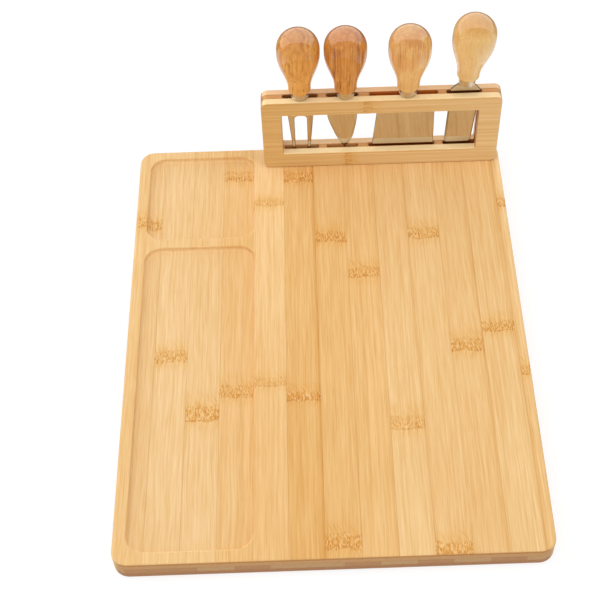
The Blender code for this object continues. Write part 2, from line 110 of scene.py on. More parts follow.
class Graph:
    """Builds a shader or geometry tree with short calls."""

    def __init__(self, tree: bpy.types.NodeTree) -> None:
        """Work on one tree.

        Args:
            tree: the tree that the nodes go into.
        """
        self.tree = tree

    def put(self, socket: Socket, value: object) -> None:
        """Link a socket to another, or set its own value.

        Args:
            socket: the input to fill.
            value: an output socket to link, or a plain value; None leaves the input alone.
        """
        if isinstance(value, Socket):
            self.tree.links.new(value, socket)
        elif value is not None:
            is_colour = socket.type == "RGBA" and len(value) == 3
            socket.default_value = (*value, 1.0) if is_colour else value

    def node(self, kind: str, *values: object, **settings: object) -> bpy.types.Node:
        """Add a node.

        Args:
            kind: Blender's name of the node's type.
            values: what its inputs take, in order.
            settings: the node's own properties.

        Returns:
            The new node.
        """
        made = self.tree.nodes.new(kind)
        for name, value in settings.items():
            setattr(made, name, value)
        for socket, value in zip(made.inputs, values):
            self.put(socket, value)
        return made

    def math(self, operation: str, *values: object, clamp: bool = False) -> Socket:
        """Add a Math node and give its result."""
        return self.node("ShaderNodeMath", *values, operation=operation, use_clamp=clamp).outputs[0]

    def times(self, first: object, *others: object) -> Socket:
        """Multiply values."""
        for value in others:
            first = self.math("MULTIPLY", first, value)
        return first

    def plus(self, first: object, second: object, clamp: bool = False) -> Socket:
        """Add two values."""
        return self.math("ADD", first, second, clamp=clamp)

    def minus(self, first: object, second: object) -> Socket:
        """Take the second value from the first."""
        return self.math("SUBTRACT", first, second)

    def scaled(self, value: object, factor: object, offset: object, clamp: bool = False) -> Socket:
        """Multiply a value by a factor, then add an offset."""
        return self.math("MULTIPLY_ADD", value, factor, offset, clamp=clamp)

    def coordinate(self, kind: str) -> Socket:
        """Give the place on the piece in metres ("Object"), its normal, or a direction ("Generated")."""
        return self.node("ShaderNodeTexCoord").outputs[kind]

    def vector(self, operation: str, *values: object, output: int = 0) -> Socket:
        """Add a Vector Math node and give its result."""
        return self.node("ShaderNodeVectorMath", *values, operation=operation).outputs[output]

    def split(self, vector: Socket) -> tuple[Socket, Socket, Socket]:
        """Give a vector's three parts."""
        return tuple(self.node("ShaderNodeSeparateXYZ", vector).outputs)

    def join(self, x: object, y: object, z: object) -> Socket:
        """Make a vector of three values."""
        return self.node("ShaderNodeCombineXYZ", x, y, z).outputs[0]

    def noise(self, vector: Socket, scale: tuple[float, float, float], detail: float = 2.0) -> Socket:
        """Add noise that is stretched by a scale of its own along each axis.

        Args:
            vector: the place, in metres.
            scale: features per metre along X, Y and Z.
            detail: how many finer layers it has.

        Returns:
            A value from 0 to 1, about 0.5 on average.
        """
        stretched = self.vector("MULTIPLY", vector, scale)
        return self.node("ShaderNodeTexNoise", stretched, None, 1.0, detail).outputs[0]

    def remap(self, value: object, low: object, high: object, start: float = 0.0, end: float = 1.0) -> Socket:
        """Ease a value from one range into another.

        Args:
            value: what to map.
            low: where the old range starts.
            high: where the old range ends.
            start: what low becomes.
            end: what high becomes.

        Returns:
            The eased value, held inside the new range.
        """
        return self.node("ShaderNodeMapRange", value, low, high, start, end,
                         interpolation_type="SMOOTHSTEP").outputs[0]

    def mix(self, share: object, first: object, second: object, blend: str = "MIX") -> Socket:
        """Blend two colours.

        Args:
            share: how much of the second shows.
            first: the colour below.
            second: the colour above.
            blend: the way that the two are blended.

        Returns:
            The blended colour.
        """
        made = self.tree.nodes.new("ShaderNodeMix")
        made.data_type = "RGBA"
        made.blend_type = blend
        for index, value in ((0, share), (6, first), (7, second)):
            self.put(made.inputs[index], value)
        return made.outputs[2]

    def tint(self, share: object, colour: object, factor: object) -> Socket:
        """Multiply a colour by a factor for each channel, as far as the share says."""
        return self.mix(share, colour, factor, "MULTIPLY")


class ShaderGroup(ABC):
    """A shader node group that is built once and placed in many materials."""

    name: str
    inputs: tuple[tuple[str, str], ...]
    outputs: tuple[tuple[str, str], ...]

    @abstractmethod
    def build(self, graph: Graph, given: dict[str, Socket]) -> tuple[Socket, ...]:
        """Add the group's nodes and give what its outputs take, in order."""

    def tree(self) -> bpy.types.NodeTree:
        """Give the group's tree, made at the first call."""
        found = bpy.data.node_groups.get(self.name)
        if found:
            return found
        tree = bpy.data.node_groups.new(self.name, "ShaderNodeTree")
        for label, kind in self.inputs:
            tree.interface.new_socket(label, in_out="INPUT", socket_type=f"NodeSocket{kind}")
        for label, kind in self.outputs:
            tree.interface.new_socket(label, in_out="OUTPUT", socket_type=f"NodeSocket{kind}")
        graph = Graph(tree)
        entry = graph.node("NodeGroupInput")
        given = {label: entry.outputs[label] for label, _ in self.inputs}
        graph.node("NodeGroupOutput", *self.build(graph, given))
        return tree

    def place(self, graph: Graph, **values: object) -> tuple[Socket, ...]:
        """Put the group into a material.

        Args:
            graph: the material's graph.
            values: what the named inputs take, with underscores for spaces.

        Returns:
            The group's outputs, in order.
        """
        made = graph.tree.nodes.new("ShaderNodeGroup")
        made.node_tree = self.tree()
        for label, value in values.items():
            graph.put(made.inputs[label.replace("_", " ")], value)
        return tuple(made.outputs)


class BambooFlesh(ShaderGroup):
    """The long streaks, fibres and short dark vessels of split bamboo."""

    name = "bamboo_flesh"
    inputs = (("Place", "Vector"), ("Colour", "Color"), ("Streaks", "Float"), ("Fibres", "Float"))
    outputs = (("Colour", "Color"), ("Height", "Float"), ("Roughness", "Float"))

    def build(self, graph: Graph, given: dict[str, Socket]) -> tuple[Socket, ...]:
        """Lay four scales of stretched noise over each other."""
        place = given["Place"]
        broad = graph.noise(place, (150.0, 5.0, 60.0))
        middle = graph.noise(place, (780.0, 18.0, 260.0))
        fibre = graph.noise(place, (1150.0, 45.0, 700.0))
        vessel = graph.noise(place, (2600.0, 60.0, 1500.0), 1.0)
        hair = graph.noise(place, (1250.0, 7.0, 420.0), 1.0)
        wide = graph.scaled(graph.scaled(middle, 2.4, broad), 0.70, -1.19)
        fine = graph.scaled(fibre, 2.0, -1.0)
        tone = graph.scaled(wide, given["Streaks"], 0.5)
        tone = graph.scaled(fine, given["Fibres"], tone, clamp=True)
        light = graph.tint(1.0, given["Colour"], (1.05, 1.09, 1.17))
        deep = graph.tint(1.0, given["Colour"], (0.93, 0.86, 0.74))
        colour = graph.mix(tone, light, deep)
        drawn = graph.times(graph.remap(hair, 0.52, 0.66), given["Fibres"])
        colour = graph.tint(drawn, colour, (0.94, 0.89, 0.80))
        dashes = graph.times(graph.remap(vessel, 0.58, 0.74), given["Fibres"])
        colour = graph.tint(dashes, colour, (0.93, 0.85, 0.72))
        height = graph.minus(fibre, graph.times(dashes, 0.6))
        roughness = graph.scaled(middle, 0.16, 0.36)
        return colour, height, roughness


class BambooKnot(ShaderGroup):
    """The band of tangled dark dashes where a culm had a knot."""

    name = "bamboo_knot"
    inputs = (("Place", "Vector"), ("Along", "Float"), ("Colour", "Color"), ("Height", "Float"),
              ("Centre", "Float"), ("Reach", "Float"), ("Strength", "Float"))
    outputs = (("Colour", "Color"), ("Height", "Float"))

    def build(self, graph: Graph, given: dict[str, Socket]) -> tuple[Socket, ...]:
        """Mix specks, a haze, a fading fringe and painted glints into the colour near the centre."""
        place = given["Place"]
        wave = graph.noise(place, (110.0, 0.0, 0.0), 1.0)
        offset = graph.minus(given["Along"], given["Centre"])
        share = graph.math("DIVIDE", offset, given["Reach"])
        share = graph.scaled(graph.minus(wave, 0.5), 1.2, share)
        size = graph.math("MAXIMUM", graph.times(share, -1.15), graph.times(share, 0.8))
        band = graph.times(graph.remap(size, 1.1, 0.8), given["Strength"])
        fringe = graph.times(graph.remap(size, 3.2, 0.8), given["Strength"])
        bend = graph.times(share, share, 0.0005)
        bent = graph.vector("ADD", place, graph.join(bend, 0.0, 0.0))
        specks = graph.noise(bent, (1250.0, 400.0, 1000.0), 1.0)
        threads = graph.noise(bent, (1500.0, 110.0, 900.0), 1.0)
        glints = graph.noise(bent, (1200.0, 330.0, 900.0), 1.0)
        deeper = graph.remap(share, 0.8, -0.8, 0.65, 1.1)
        dark = graph.times(graph.remap(specks, 0.45, 0.59), band, deeper)
        hairs = graph.times(graph.remap(threads, 0.48, 0.66), fringe)
        lip = graph.math("ABSOLUTE", graph.plus(share, 0.82))
        broken = graph.times(band, graph.remap(threads, 0.38, 0.60, 0.15, 1.0))
        lip = graph.times(graph.remap(lip, 0.42, 0.06, 0.0, 0.55), broken)
        colour = graph.tint(graph.times(fringe, 0.3), given["Colour"], (0.97, 0.88, 0.66))
        colour = graph.tint(graph.times(hairs, 0.85), colour, (0.90, 0.78, 0.55))
        colour = graph.tint(graph.times(band, 0.45), colour, (0.96, 0.86, 0.62))
        colour = graph.tint(lip, colour, (0.84, 0.66, 0.42))
        colour = graph.tint(dark, colour, (0.80, 0.62, 0.36))
        # Painted glints: light specks in the knot's band, mixed towards cream.
        bright = graph.times(graph.remap(glints, 0.53, 0.66), band)
        colour = graph.mix(graph.times(bright, 0.6), colour, Tone.CREAM.value)
        height = graph.minus(given["Height"], graph.times(dark, 0.6))
        return colour, height


class BambooEnds(ShaderGroup):
    """Sawn end grain: dark dots of fibre bundles in browner flesh."""

    name = "bamboo_ends"
    inputs = (("Place", "Vector"), ("Ends", "Float"), ("Colour", "Color"), ("End Colour", "Color"),
              ("Height", "Float"))
    outputs = (("Colour", "Color"), ("Height", "Float"))

    def build(self, graph: Graph, given: dict[str, Socket]) -> tuple[Socket, ...]:
        """Dot the cross section with bundles that crowd towards one side."""
        place = given["Place"]
        flat = graph.vector("MULTIPLY", place, (1.0, 0.0, 1.0))
        cells = graph.node("ShaderNodeTexVoronoi", flat, None, 1500.0).outputs[0]
        crowd = graph.noise(flat, (90.0, 0.0, 420.0), 1.0)
        dots = graph.times(graph.remap(cells, 0.42, 0.18), graph.remap(crowd, 0.35, 0.65, 0.35, 1.0))
        cloud = graph.noise(flat, (260.0, 0.0, 700.0), 2.0)
        colour = graph.tint(graph.remap(cloud, 0.3, 0.7, 0.0, 0.5), given["End Colour"], (0.90, 0.82, 0.74))
        colour = graph.tint(graph.times(dots, 0.55), colour, (0.70, 0.55, 0.42))
        height = graph.scaled(dots, -0.5, 0.5)
        mixed = graph.times(graph.minus(height, given["Height"]), given["Ends"])
        return graph.mix(given["Ends"], given["Colour"], colour), graph.plus(given["Height"], mixed)


class TurnedWood(ShaderGroup):
    """Growth layers, streaks and open pores of turned rubberwood."""

    name = "turned_wood"
    inputs = (("Place", "Vector"), ("Plank", "Vector"), ("Body", "Color"), ("Deep", "Color"),
              ("Pore", "Color"), ("Cap", "Color"), ("Figure", "Float"), ("Pores", "Float"),
              ("Lines", "Float"), ("Line Rate", "Float"))
    outputs = (("Colour", "Color"), ("Height", "Float"), ("Roughness", "Float"))

    def build(self, graph: Graph, given: dict[str, Socket]) -> tuple[Socket, ...]:
        """Lay growth layers round a far pith, then streaks and short pores along the axis."""
        place = given["Place"]
        warp = graph.scaled(graph.noise(place, (45.0, 45.0, 14.0)), 0.012, -0.006)
        pith = graph.vector("ADD", place, (0.030, 0.022, 0.0))
        flat = graph.vector("LENGTH", graph.vector("MULTIPLY", pith, (1.0, 1.0, 0.08)), output=1)
        layer = graph.plus(flat, warp)
        rings = graph.noise(graph.join(layer, 0.0, 0.0), (430.0, 0.0, 0.0), 3.5)
        streaks = graph.noise(place, (380.0, 380.0, 9.0))
        fine = graph.noise(place, (1500.0, 1500.0, 60.0))
        cap = graph.split(graph.coordinate("Normal"))[2]
        bold = graph.times(given["Figure"], graph.remap(cap, 0.2, 0.9, 1.0, 2.2))
        tone = graph.scaled(graph.minus(rings, 0.5), bold, 0.5)
        tone = graph.plus(tone, graph.scaled(streaks, 1.8, -0.9))
        tone = graph.plus(tone, graph.scaled(fine, 1.2, -0.6), clamp=True)
        up = graph.split(given["Plank"])[2]
        # Painted light: the figure fades towards the neck, which paints the neck paler.
        neck = graph.remap(up, 0.036, 0.012)
        tone = graph.times(tone, graph.scaled(neck, -0.75, 1.0))
        colour = graph.mix(tone, given["Body"], given["Deep"])
        run = graph.vector("MULTIPLY", given["Plank"], graph.join(1150.0, 150.0, given["Line Rate"]))
        thread = graph.node("ShaderNodeTexNoise", run, None, 1.0, 1.0).outputs[0]
        patch = graph.remap(graph.noise(place, (85.0, 85.0, 22.0)), 0.40, 0.60)
        drawn = graph.times(graph.remap(thread, 0.46, 0.70), given["Lines"])
        drawn = graph.times(drawn, graph.remap(cap, 0.45, 0.95, 1.0, 0.3))
        drawn = graph.times(drawn, graph.scaled(patch, 0.8, 0.4))
        colour = graph.mix(drawn, colour, given["Pore"])
        # Upward faces take the Cap tint and render darker on top: painted shade against the light from above,
        # partly the end grain's own darker tone.
        colour = graph.tint(graph.remap(cap, 0.25, 0.88), colour, given["Cap"])
        holes = graph.noise(place, (1700.0, 1700.0, 110.0), 1.0)
        pores = graph.times(graph.remap(holes, 0.57, 0.68), given["Pores"])
        pores = graph.times(pores, graph.scaled(patch, 1.4, 0.3))
        colour = graph.mix(pores, colour, given["Pore"])
        # Painted light: a lighter band round the handle's waist; painted shade: a slightly darker band above
        # it.
        waist = graph.times(graph.remap(up, 0.045, 0.032), graph.remap(up, 0.010, 0.020))
        colour = graph.tint(waist, colour, (1.09, 1.155, 1.28))
        colour = graph.tint(graph.remap(up, 0.040, 0.046), colour, (0.965, 0.95, 0.88))
        height = graph.scaled(pores, -0.8, fine)
        return colour, height, graph.scaled(streaks, 0.10, 0.30)


class PolishedSteel(ShaderGroup):
    """Fine polishing lines and faint smudges on steel, and a painted dark reflection on its cut edges."""

    name = "polished_steel"
    inputs = (("Place", "Vector"), ("Colour", "Color"), ("Wear", "Float"), ("Rim", "Float"))
    outputs = (("Colour", "Color"), ("Height", "Float"), ("Roughness", "Float"))

    def build(self, graph: Graph, given: dict[str, Socket]) -> tuple[Socket, ...]:
        """Drive roughness and a slight stain by lines and smudges, roughen the cut edges and paint them
        nearly black as a painted dark reflection.
        """
        place = given["Place"]
        lines = graph.noise(place, (2600.0, 2600.0, 90.0), 1.0)
        smudge = graph.noise(place, (120.0, 120.0, 90.0), 3.0)
        stain = graph.times(graph.remap(smudge, 0.45, 0.75), given["Wear"])
        colour = graph.tint(stain, given["Colour"], (0.90, 0.88, 0.86))
        # Painted reflection: cut edges are painted nearly black, as if they mirrored something dark.
        colour = graph.mix(given["Rim"], colour, (0.08, 0.06, 0.045))
        rough = graph.scaled(lines, 0.04, 0.02)
        rough = graph.scaled(given["Rim"], 0.25, rough)
        return colour, lines, graph.scaled(stain, 0.12, rough)


@dataclass(frozen=True)
class Finish(ABC):
    """What every surface finish has: a name, and a material that is made once."""

    name: str

    @abstractmethod
    def paint(self, graph: Graph, shader: bpy.types.Node) -> None:
        """Fill in the shader."""

    def material(self) -> bpy.types.Material:
        """Give the finish's material, made at the first call."""
        found = bpy.data.materials.get(self.name)
        if found:
            return found
        made = bpy.data.materials.new(self.name)
        made.use_nodes = True
        graph = Graph(made.node_tree)
        self.paint(graph, made.node_tree.nodes["Principled BSDF"])
        return made


def set_bump(graph: Graph, shader: bpy.types.Node, height: Socket, distance: float, strength: float) -> None:
    """Raise and sink a surface a little.

    Args:
        graph: the material's graph.
        shader: the Principled shader.
        height: the relief, 0 to 1.
        distance: how high a relief of 1 is, in metres.
        strength: how much of it shows.
    """
    bump = graph.node("ShaderNodeBump", strength, distance)
    graph.put(bump.inputs["Height"], height)
    graph.put(shader.inputs["Normal"], bump.outputs[0])


@dataclass(frozen=True)
class Knot:
    """One knot mark: where it lies along the grain, and how strong it is."""

    centre: float
    reach: float = 0.0046
    strength: float = 1.0
    low: float = -1.0
    high: float = 1.0


@dataclass(frozen=True)
class BambooFinish(Finish):
    """Oiled bamboo.  Sides are where its glue lines lie, with darker rind along one of them."""

    tone: Tone
    seed: float
    grain: Grain = Grain.ALONG_BOARD
    knots: tuple[Knot, ...] = ()
    drift: float = 0.0
    drift_tone: Tone = Tone.AMBER
    streaks: float = 1.0
    fibres: float = 0.8
    sides: Point | None = None
    rind: float = 0.0
    ends: Tone = Tone.TOAST
    end_reach: float = 0.0
    edges: Tone | None = None
    hollow: Point | None = None
    open_span: tuple[float, float] = (0.0, 0.0)
    lit_corner: Point = (0.0, 0.0)
    routed_below: float | None = None
    layers: tuple[float, ...] = ()

    rind_width: float = 0.0035
    glue_width: float = 0.00030
    half_length: float = 0.165
    run_share: float = 1.0

    def paint(self, graph: Graph, shader: bpy.types.Node) -> None:
        """Lay flesh, rind, glue lines, knots and end grain over each other."""
        place = graph.coordinate("Object")
        x, y, z = graph.split(place)
        across, along, through = (x, y, z) if self.grain is Grain.ALONG_BOARD else (z, x, y)
        shift = self.seed * 0.37
        if self.routed_below is not None:
            floor = graph.remap(z, self.routed_below, self.routed_below - 0.002)
            wave = graph.noise(place, (55.0, 13.0, 0.0), 1.0)
            swing = graph.times(graph.minus(wave, 0.5), graph.times(floor, 0.006))
            across_grain = graph.plus(across, swing)
        else:
            across_grain = across
        run = graph.times(along, self.run_share)
        shifts = (shift, shift * 1.7, shift * 0.6)
        seeded = graph.vector("ADD", graph.join(across_grain, run, through), shifts)
        colour = self.drifted(graph, along)
        colour, height, rough = BambooFlesh().place(
            graph, Place=seeded, Colour=colour, Streaks=self.streaks, Fibres=self.fibres)
        if self.routed_below is not None:
            # Painted light: the tray floors are made slightly paler and bluer.
            colour = graph.tint(floor, colour, (1.0, 1.02, 1.08))
        if self.sides:
            colour = self.sided(graph, across, colour)
        for knot in self.knots:
            inside = graph.times(graph.math("GREATER_THAN", across, knot.low),
                                graph.math("LESS_THAN", across, knot.high))
            colour, height = BambooKnot().place(
                graph, Place=seeded, Along=along, Colour=colour, Height=height, Centre=knot.centre,
                Reach=knot.reach, Strength=graph.times(inside, knot.strength))
        colour, height = self.end_grain(graph, seeded, along, colour, height)
        for level in self.layers:
            share = graph.remap(graph.math("ABSOLUTE", graph.minus(z, level)), 0.0001, 0.0004, 0.5, 0.0)
            colour = graph.tint(share, colour, (0.78, 0.66, 0.52))
        if self.routed_below is not None:
            # Darker rounded upper edge at the board's ends, and painted light on the trays' front walls.
            colour = self.darker_end_edges_and_painted_wall_light(graph, along, colour)
        # Faces that face up take the edges shade.
        if self.edges:
            facing = graph.split(graph.coordinate("Normal"))[2]
            colour = graph.mix(graph.remap(facing, 0.45, 0.85), colour, self.edges.value)
        # Painted shade: faces inside the holder's slots are darkened, less in the wide slot's span, with
        # painted light in the sill part of the slots left of it.
        if self.hollow:
            deep = graph.remap(y, *self.hollow)
            shade = graph.mix(self.in_span(graph, x), (0.58, 0.34, 0.20), (0.90, 0.40, 0.14))
            right, top = self.lit_corner
            lit = graph.times(graph.remap(x, right, right - MILLIMETRE),
                             graph.remap(z, top, top - MILLIMETRE))
            shade = graph.mix(lit, shade, (1.0, 0.80, 0.62))
            colour = graph.tint(deep, colour, shade)
        graph.put(shader.inputs["Base Color"], colour)
        graph.put(shader.inputs["Roughness"], rough)
        shader.inputs["Specular IOR Level"].default_value = 0.2
        set_bump(graph, shader, height, 0.00006, 0.35)

    def darker_end_edges_and_painted_wall_light(self, graph: Graph, along: Socket, colour: Socket) -> Socket:
        """Darken the rounded upper edge at the piece's two ends, and paint light on the trays' front walls.
        """
        up = graph.split(graph.coordinate("Normal"))[2]
        round_over = graph.times(graph.remap(up, 0.02, 0.3), graph.remap(up, 0.92, 0.6))
        outer = graph.remap(graph.math("ABSOLUTE", along), self.end_reach + 0.003, self.end_reach + 0.004)
        share = graph.times(round_over, outer)
        colour = graph.tint(share, colour, (0.80, 0.70, 0.56))
        front_wall = graph.split(graph.coordinate("Normal"))[1]
        inner = graph.remap(graph.math("ABSOLUTE", along), self.end_reach, self.end_reach - 0.001)
        # Painted light: faces of the trays' front walls, which face the back, are made paler.
        pale = graph.times(graph.remap(front_wall, 0.03, 0.35), inner)
        return graph.tint(pale, colour, (1.12, 1.20, 1.32))

    def in_span(self, graph: Graph, x: Socket) -> Socket:
        """Tell the stretch whose hollow is wide enough to let light in, 0 to 1."""
        left, right = self.open_span
        fade = 3 * MILLIMETRE
        return graph.times(graph.remap(x, left, left + fade), graph.remap(x, right, right - fade))

    def drifted(self, graph: Graph, along: Socket) -> Socket:
        """Let the tone deepen towards the piece's far end, or its near end where the drift is below 0."""
        near, far = max(0.0, -self.drift), max(0.0, self.drift)
        share = graph.remap(along, -self.half_length, self.half_length, near, far)
        return graph.mix(share, self.tone.value, self.drift_tone.value)

    def sided(self, graph: Graph, across: Socket, colour: Socket) -> Socket:
        """Darken the glue lines and the rind."""
        left, right = self.sides
        if self.rind:
            edge, side = (right, 1.0) if self.rind > 0 else (left, -1.0)
            share = graph.remap(across, edge - side * self.rind_width, edge, 0.0, abs(self.rind))
            colour = graph.tint(share, colour, (0.88, 0.76, 0.56))
        for line, way in ((left, 1.0), (right, -1.0)):
            share = graph.remap(across, line, line + way * self.glue_width, 0.35, 0.0)
            colour = graph.tint(share, colour, (0.80, 0.64, 0.44))
        return colour

    def end_grain(self, graph: Graph, place: Socket, along: Socket, colour: Socket,
                  height: Socket) -> tuple[Socket, ...]:
        """Show end grain on the faces that are square to the fibres, beyond the reach."""
        normal = graph.coordinate("Normal")
        way = (0.0, 1.0, 0.0) if self.grain is Grain.ALONG_BOARD else (1.0, 0.0, 0.0)
        facing = graph.math("ABSOLUTE", graph.vector("DOT_PRODUCT", normal, way, output=1))
        outer = graph.remap(graph.math("ABSOLUTE", along), self.end_reach - 0.001, self.end_reach + 0.001)
        ends = graph.times(graph.remap(facing, 0.45, 0.85), outer)
        return BambooEnds().place(graph, Place=place, Ends=ends, Colour=colour, End_Colour=self.ends.value,
                                  Height=height)


@dataclass(frozen=True)
class HandleFinish(Finish):
    """Lacquered rubberwood, patterned in the handle's own leaning frame."""

    body: Colour
    deep: Colour
    pore: Colour
    cap: Colour
    figure: float
    pores: float
    lines: float
    line_rate: float
    seed: float
    foot: tuple[float, float, float] = (0.0, 0.0, 0.0)
    lean: float = 0.0

    def paint(self, graph: Graph, shader: bpy.types.Node) -> None:
        """Lay the wood under a clear glossy coat."""
        local = graph.node("ShaderNodeMapping", graph.coordinate("Object"), self.foot, (0.0, self.lean, 0.0),
                           vector_type="TEXTURE").outputs[0]
        turned = graph.node("ShaderNodeMapping", local, None, (0.0, 0.0, self.seed)).outputs[0]
        lifted = graph.vector("ADD", turned, (0.0, 0.0, self.seed))
        colour, height, rough = TurnedWood().place(
            graph, Place=lifted, Plank=local, Body=self.body, Deep=self.deep, Pore=self.pore, Cap=self.cap,
            Figure=self.figure, Pores=self.pores, Lines=self.lines, Line_Rate=self.line_rate)
        graph.put(shader.inputs["Base Color"], colour)
        graph.put(shader.inputs["Roughness"], rough)
        shader.inputs["Specular IOR Level"].default_value = 0.0
        shader.inputs["Coat Weight"].default_value = 1.0
        shader.inputs["Coat Roughness"].default_value = 0.03
        shader.inputs["Coat IOR"].default_value = 1.52
        set_bump(graph, shader, height, 0.00004, 0.25)


@dataclass(frozen=True)
class SteelFinish(Finish):
    """Polished or plated steel."""

    colour: Colour
    wear: float
    extra_roughness: float = 0.0

    def paint(self, graph: Graph, shader: bpy.types.Node) -> None:
        """Make a metal whose roughness follows polishing lines and smudges."""
        rim = graph.node("ShaderNodeAttribute", attribute_name=RIM).outputs["Fac"]
        colour, height, rough = PolishedSteel().place(
            graph, Place=graph.coordinate("Object"), Colour=self.colour, Wear=self.wear, Rim=rim)
        graph.put(shader.inputs["Base Color"], colour)
        graph.put(shader.inputs["Roughness"], graph.plus(rough, self.extra_roughness))
        shader.inputs["Metallic"].default_value = 1.0
        set_bump(graph, shader, height, 0.000004, 0.2)


def rounded_ring(low: Point, high: Point, corner: float, outset: float, steps: int) -> list[Point]:
    """Give a rounded rectangle's outline, anticlockwise.

    Args:
        low: its lowest corner before the outset.
        high: its highest corner before the outset.
        corner: the corners' radius before the outset, or 0 for square ones.
        outset: how far the outline stands outside the rectangle.
        steps: how many steps a corner has.

    Returns:
        The outline's points.
    """
    made = []
    quarters = ((high[0], high[1], -1, -1), (low[0], high[1], 1, -1), (low[0], low[1], 1, 1),
                (high[0], low[1], -1, 1))
    for turn, (u, v, way_u, way_v) in enumerate(quarters):
        centre = (u + way_u * corner, v + way_v * corner)
        if not corner:
            made.append((u - way_u * outset, v - way_v * outset))
            continue
        for step in range(steps + 1):
            angle = math.pi / 2 * (turn + step / steps)
            radius = corner + outset
            made.append((centre[0] + radius * math.cos(angle), centre[1] + radius * math.sin(angle)))
    return made


def loft(bm: bmesh.types.BMesh, rings: list[list[bmesh.types.BMVert]]) -> None:
    """Join each ring of corners to the next, close the first and the last, and turn the faces out."""
    for lower, upper in zip(rings, rings[1:]):
        for i in range(len(lower)):
            j = (i + 1) % len(lower)
            bm.faces.new((lower[i], lower[j], upper[j], upper[i]))
    bm.faces.new(rings[0][::-1])
    bm.faces.new(rings[-1])
    bmesh.ops.recalc_face_normals(bm, faces=bm.faces)


def plain_mesh(bm: bmesh.types.BMesh, name: str) -> Mesh:
    """Turn a bench mesh into a plain one, and clear the bench."""
    mesh = bpy.data.meshes.new(name)
    bm.to_mesh(mesh)
    bm.free()
    return mesh


@dataclass
class Block:
    """A block with a rounded rectangle for its plan, and a profile of (outset, level) pairs for its walls."""

    low: Point
    high: Point
    profile: list[Point]
    corner: float = 0.0
    axis: int = 2
    steps: int = 14

    def mesh(self, name: str) -> Mesh:
        """Loft the block's rings, from its first level to its last.

        Args:
            name: the mesh's name.

        Returns:
            A closed mesh with its faces out.
        """
        bm = bmesh.new()
        rings = []
        for outset, level in self.profile:
            ring = rounded_ring(self.low, self.high, self.corner, outset, self.steps)
            rings.append([bm.verts.new(self.lifted(u, v, level)) for u, v in ring])
        loft(bm, rings)
        return plain_mesh(bm, name)

    def lifted(self, u: float, v: float, level: float) -> Vector:
        """Put a point of the plan at its level along the block's axis."""
        return {0: Vector((level, u, v)), 1: Vector((u, level, v)), 2: Vector((u, v, level))}[self.axis]


def quarter(steps: int) -> list[Point]:
    """Give the cosine and sine of even steps through a quarter turn."""
    angles = [math.pi / 2 * step / steps for step in range(steps + 1)]
    return [(math.cos(angle), math.sin(angle)) for angle in angles]


def eased_top(level: float, radius: float, way: float = 1.0, steps: int = 6) -> list[Point]:
    """Give the profile of an outer edge that is rounded over, wall first.

    Args:
        level: the level of the face that the wall meets.
        radius: the rounding's radius.
        way: 1 if the face lies above the wall along the axis, -1 if below.
        steps: how many steps the rounding has.

    Returns:
        Pairs of outset and level.
    """
    return [(radius * (cosine - 1), level - way * radius * (1 - sine)) for cosine, sine in quarter(steps)]


def coved_floor(level: float, radius: float, steps: int = 8) -> list[Point]:
    """Give the profile of a cutter whose floor rises into its walls in a cove, floor first."""
    return [(radius * (sine - 1), level + radius * (1 - cosine)) for cosine, sine in quarter(steps)]


def flared_mouth(level: float, radius: float, way: float = 1.0, steps: int = 4) -> list[Point]:
    """Give the profile of a cutter that eases the edge of the hole it cuts, wall first, and overruns.

    Args:
        level: the level of the face that the hole opens into.
        radius: the eased edge's radius.
        way: 1 if the cutter leaves the face along the axis, -1 if against it.
        steps: how many steps the rounding has.

    Returns:
        Pairs of outset and level.
    """
    made = [(radius * (1 - cosine), level - way * (radius * (1 - sine) - WELD))
            for cosine, sine in quarter(steps)]
    return made + [(radius, level + way * OVERRUN)]


def bench_object(mesh: Mesh) -> bpy.types.Object:
    """Lay a mesh on the bench as an object, to be worked on."""
    made = bpy.data.objects.new(mesh.name, mesh)
    bpy.context.scene.collection.objects.link(made)
    return made


def evaluated(obj: bpy.types.Object, name: str) -> Mesh:
    """Give a plain mesh of an object with its modifiers applied, and clear the object away."""
    depsgraph = bpy.context.evaluated_depsgraph_get()
    mesh = bpy.data.meshes.new_from_object(obj.evaluated_get(depsgraph))
    mesh.name = name
    bpy.data.objects.remove(obj)
    return mesh


def carved(mesh: Mesh, cutters: list[Mesh]) -> Mesh:
    """Cut a mesh with others.

    Args:
        mesh: what is cut.
        cutters: closed meshes.

    Returns:
        The cut mesh, under the same name.
    """
    name = mesh.name
    mesh.name = f"{name}_blank"
    work = bench_object(mesh)
    tools = [bench_object(cutter) for cutter in cutters]
    for tool in tools:
        modifier = work.modifiers.new(tool.name, "BOOLEAN")
        modifier.operation = "DIFFERENCE"
        modifier.solver = "EXACT"
        modifier.object = tool
    made = evaluated(work, name)
    for tool in tools:
        bpy.data.objects.remove(tool)
    return made


def smoothed(mesh: Mesh, sharp_degrees: float = SHARP) -> Mesh:
    """Shade round stretches smooth and keep flats flat.

    Args:
        mesh: a closed mesh with its faces out.
        sharp_degrees: edges that turn more than this stay sharp.

    Returns:
        A mesh under the same name, with its own normals.
    """
    name = mesh.name
    mesh.name = f"{name}_plain"
    mesh.shade_smooth()
    mesh.set_sharp_from_angle(angle=math.radians(sharp_degrees))
    work = bench_object(mesh)
    weighted = work.modifiers.new("weighted", "WEIGHTED_NORMAL")
    weighted.keep_sharp = True
    weighted.weight = 100
    return evaluated(work, name)


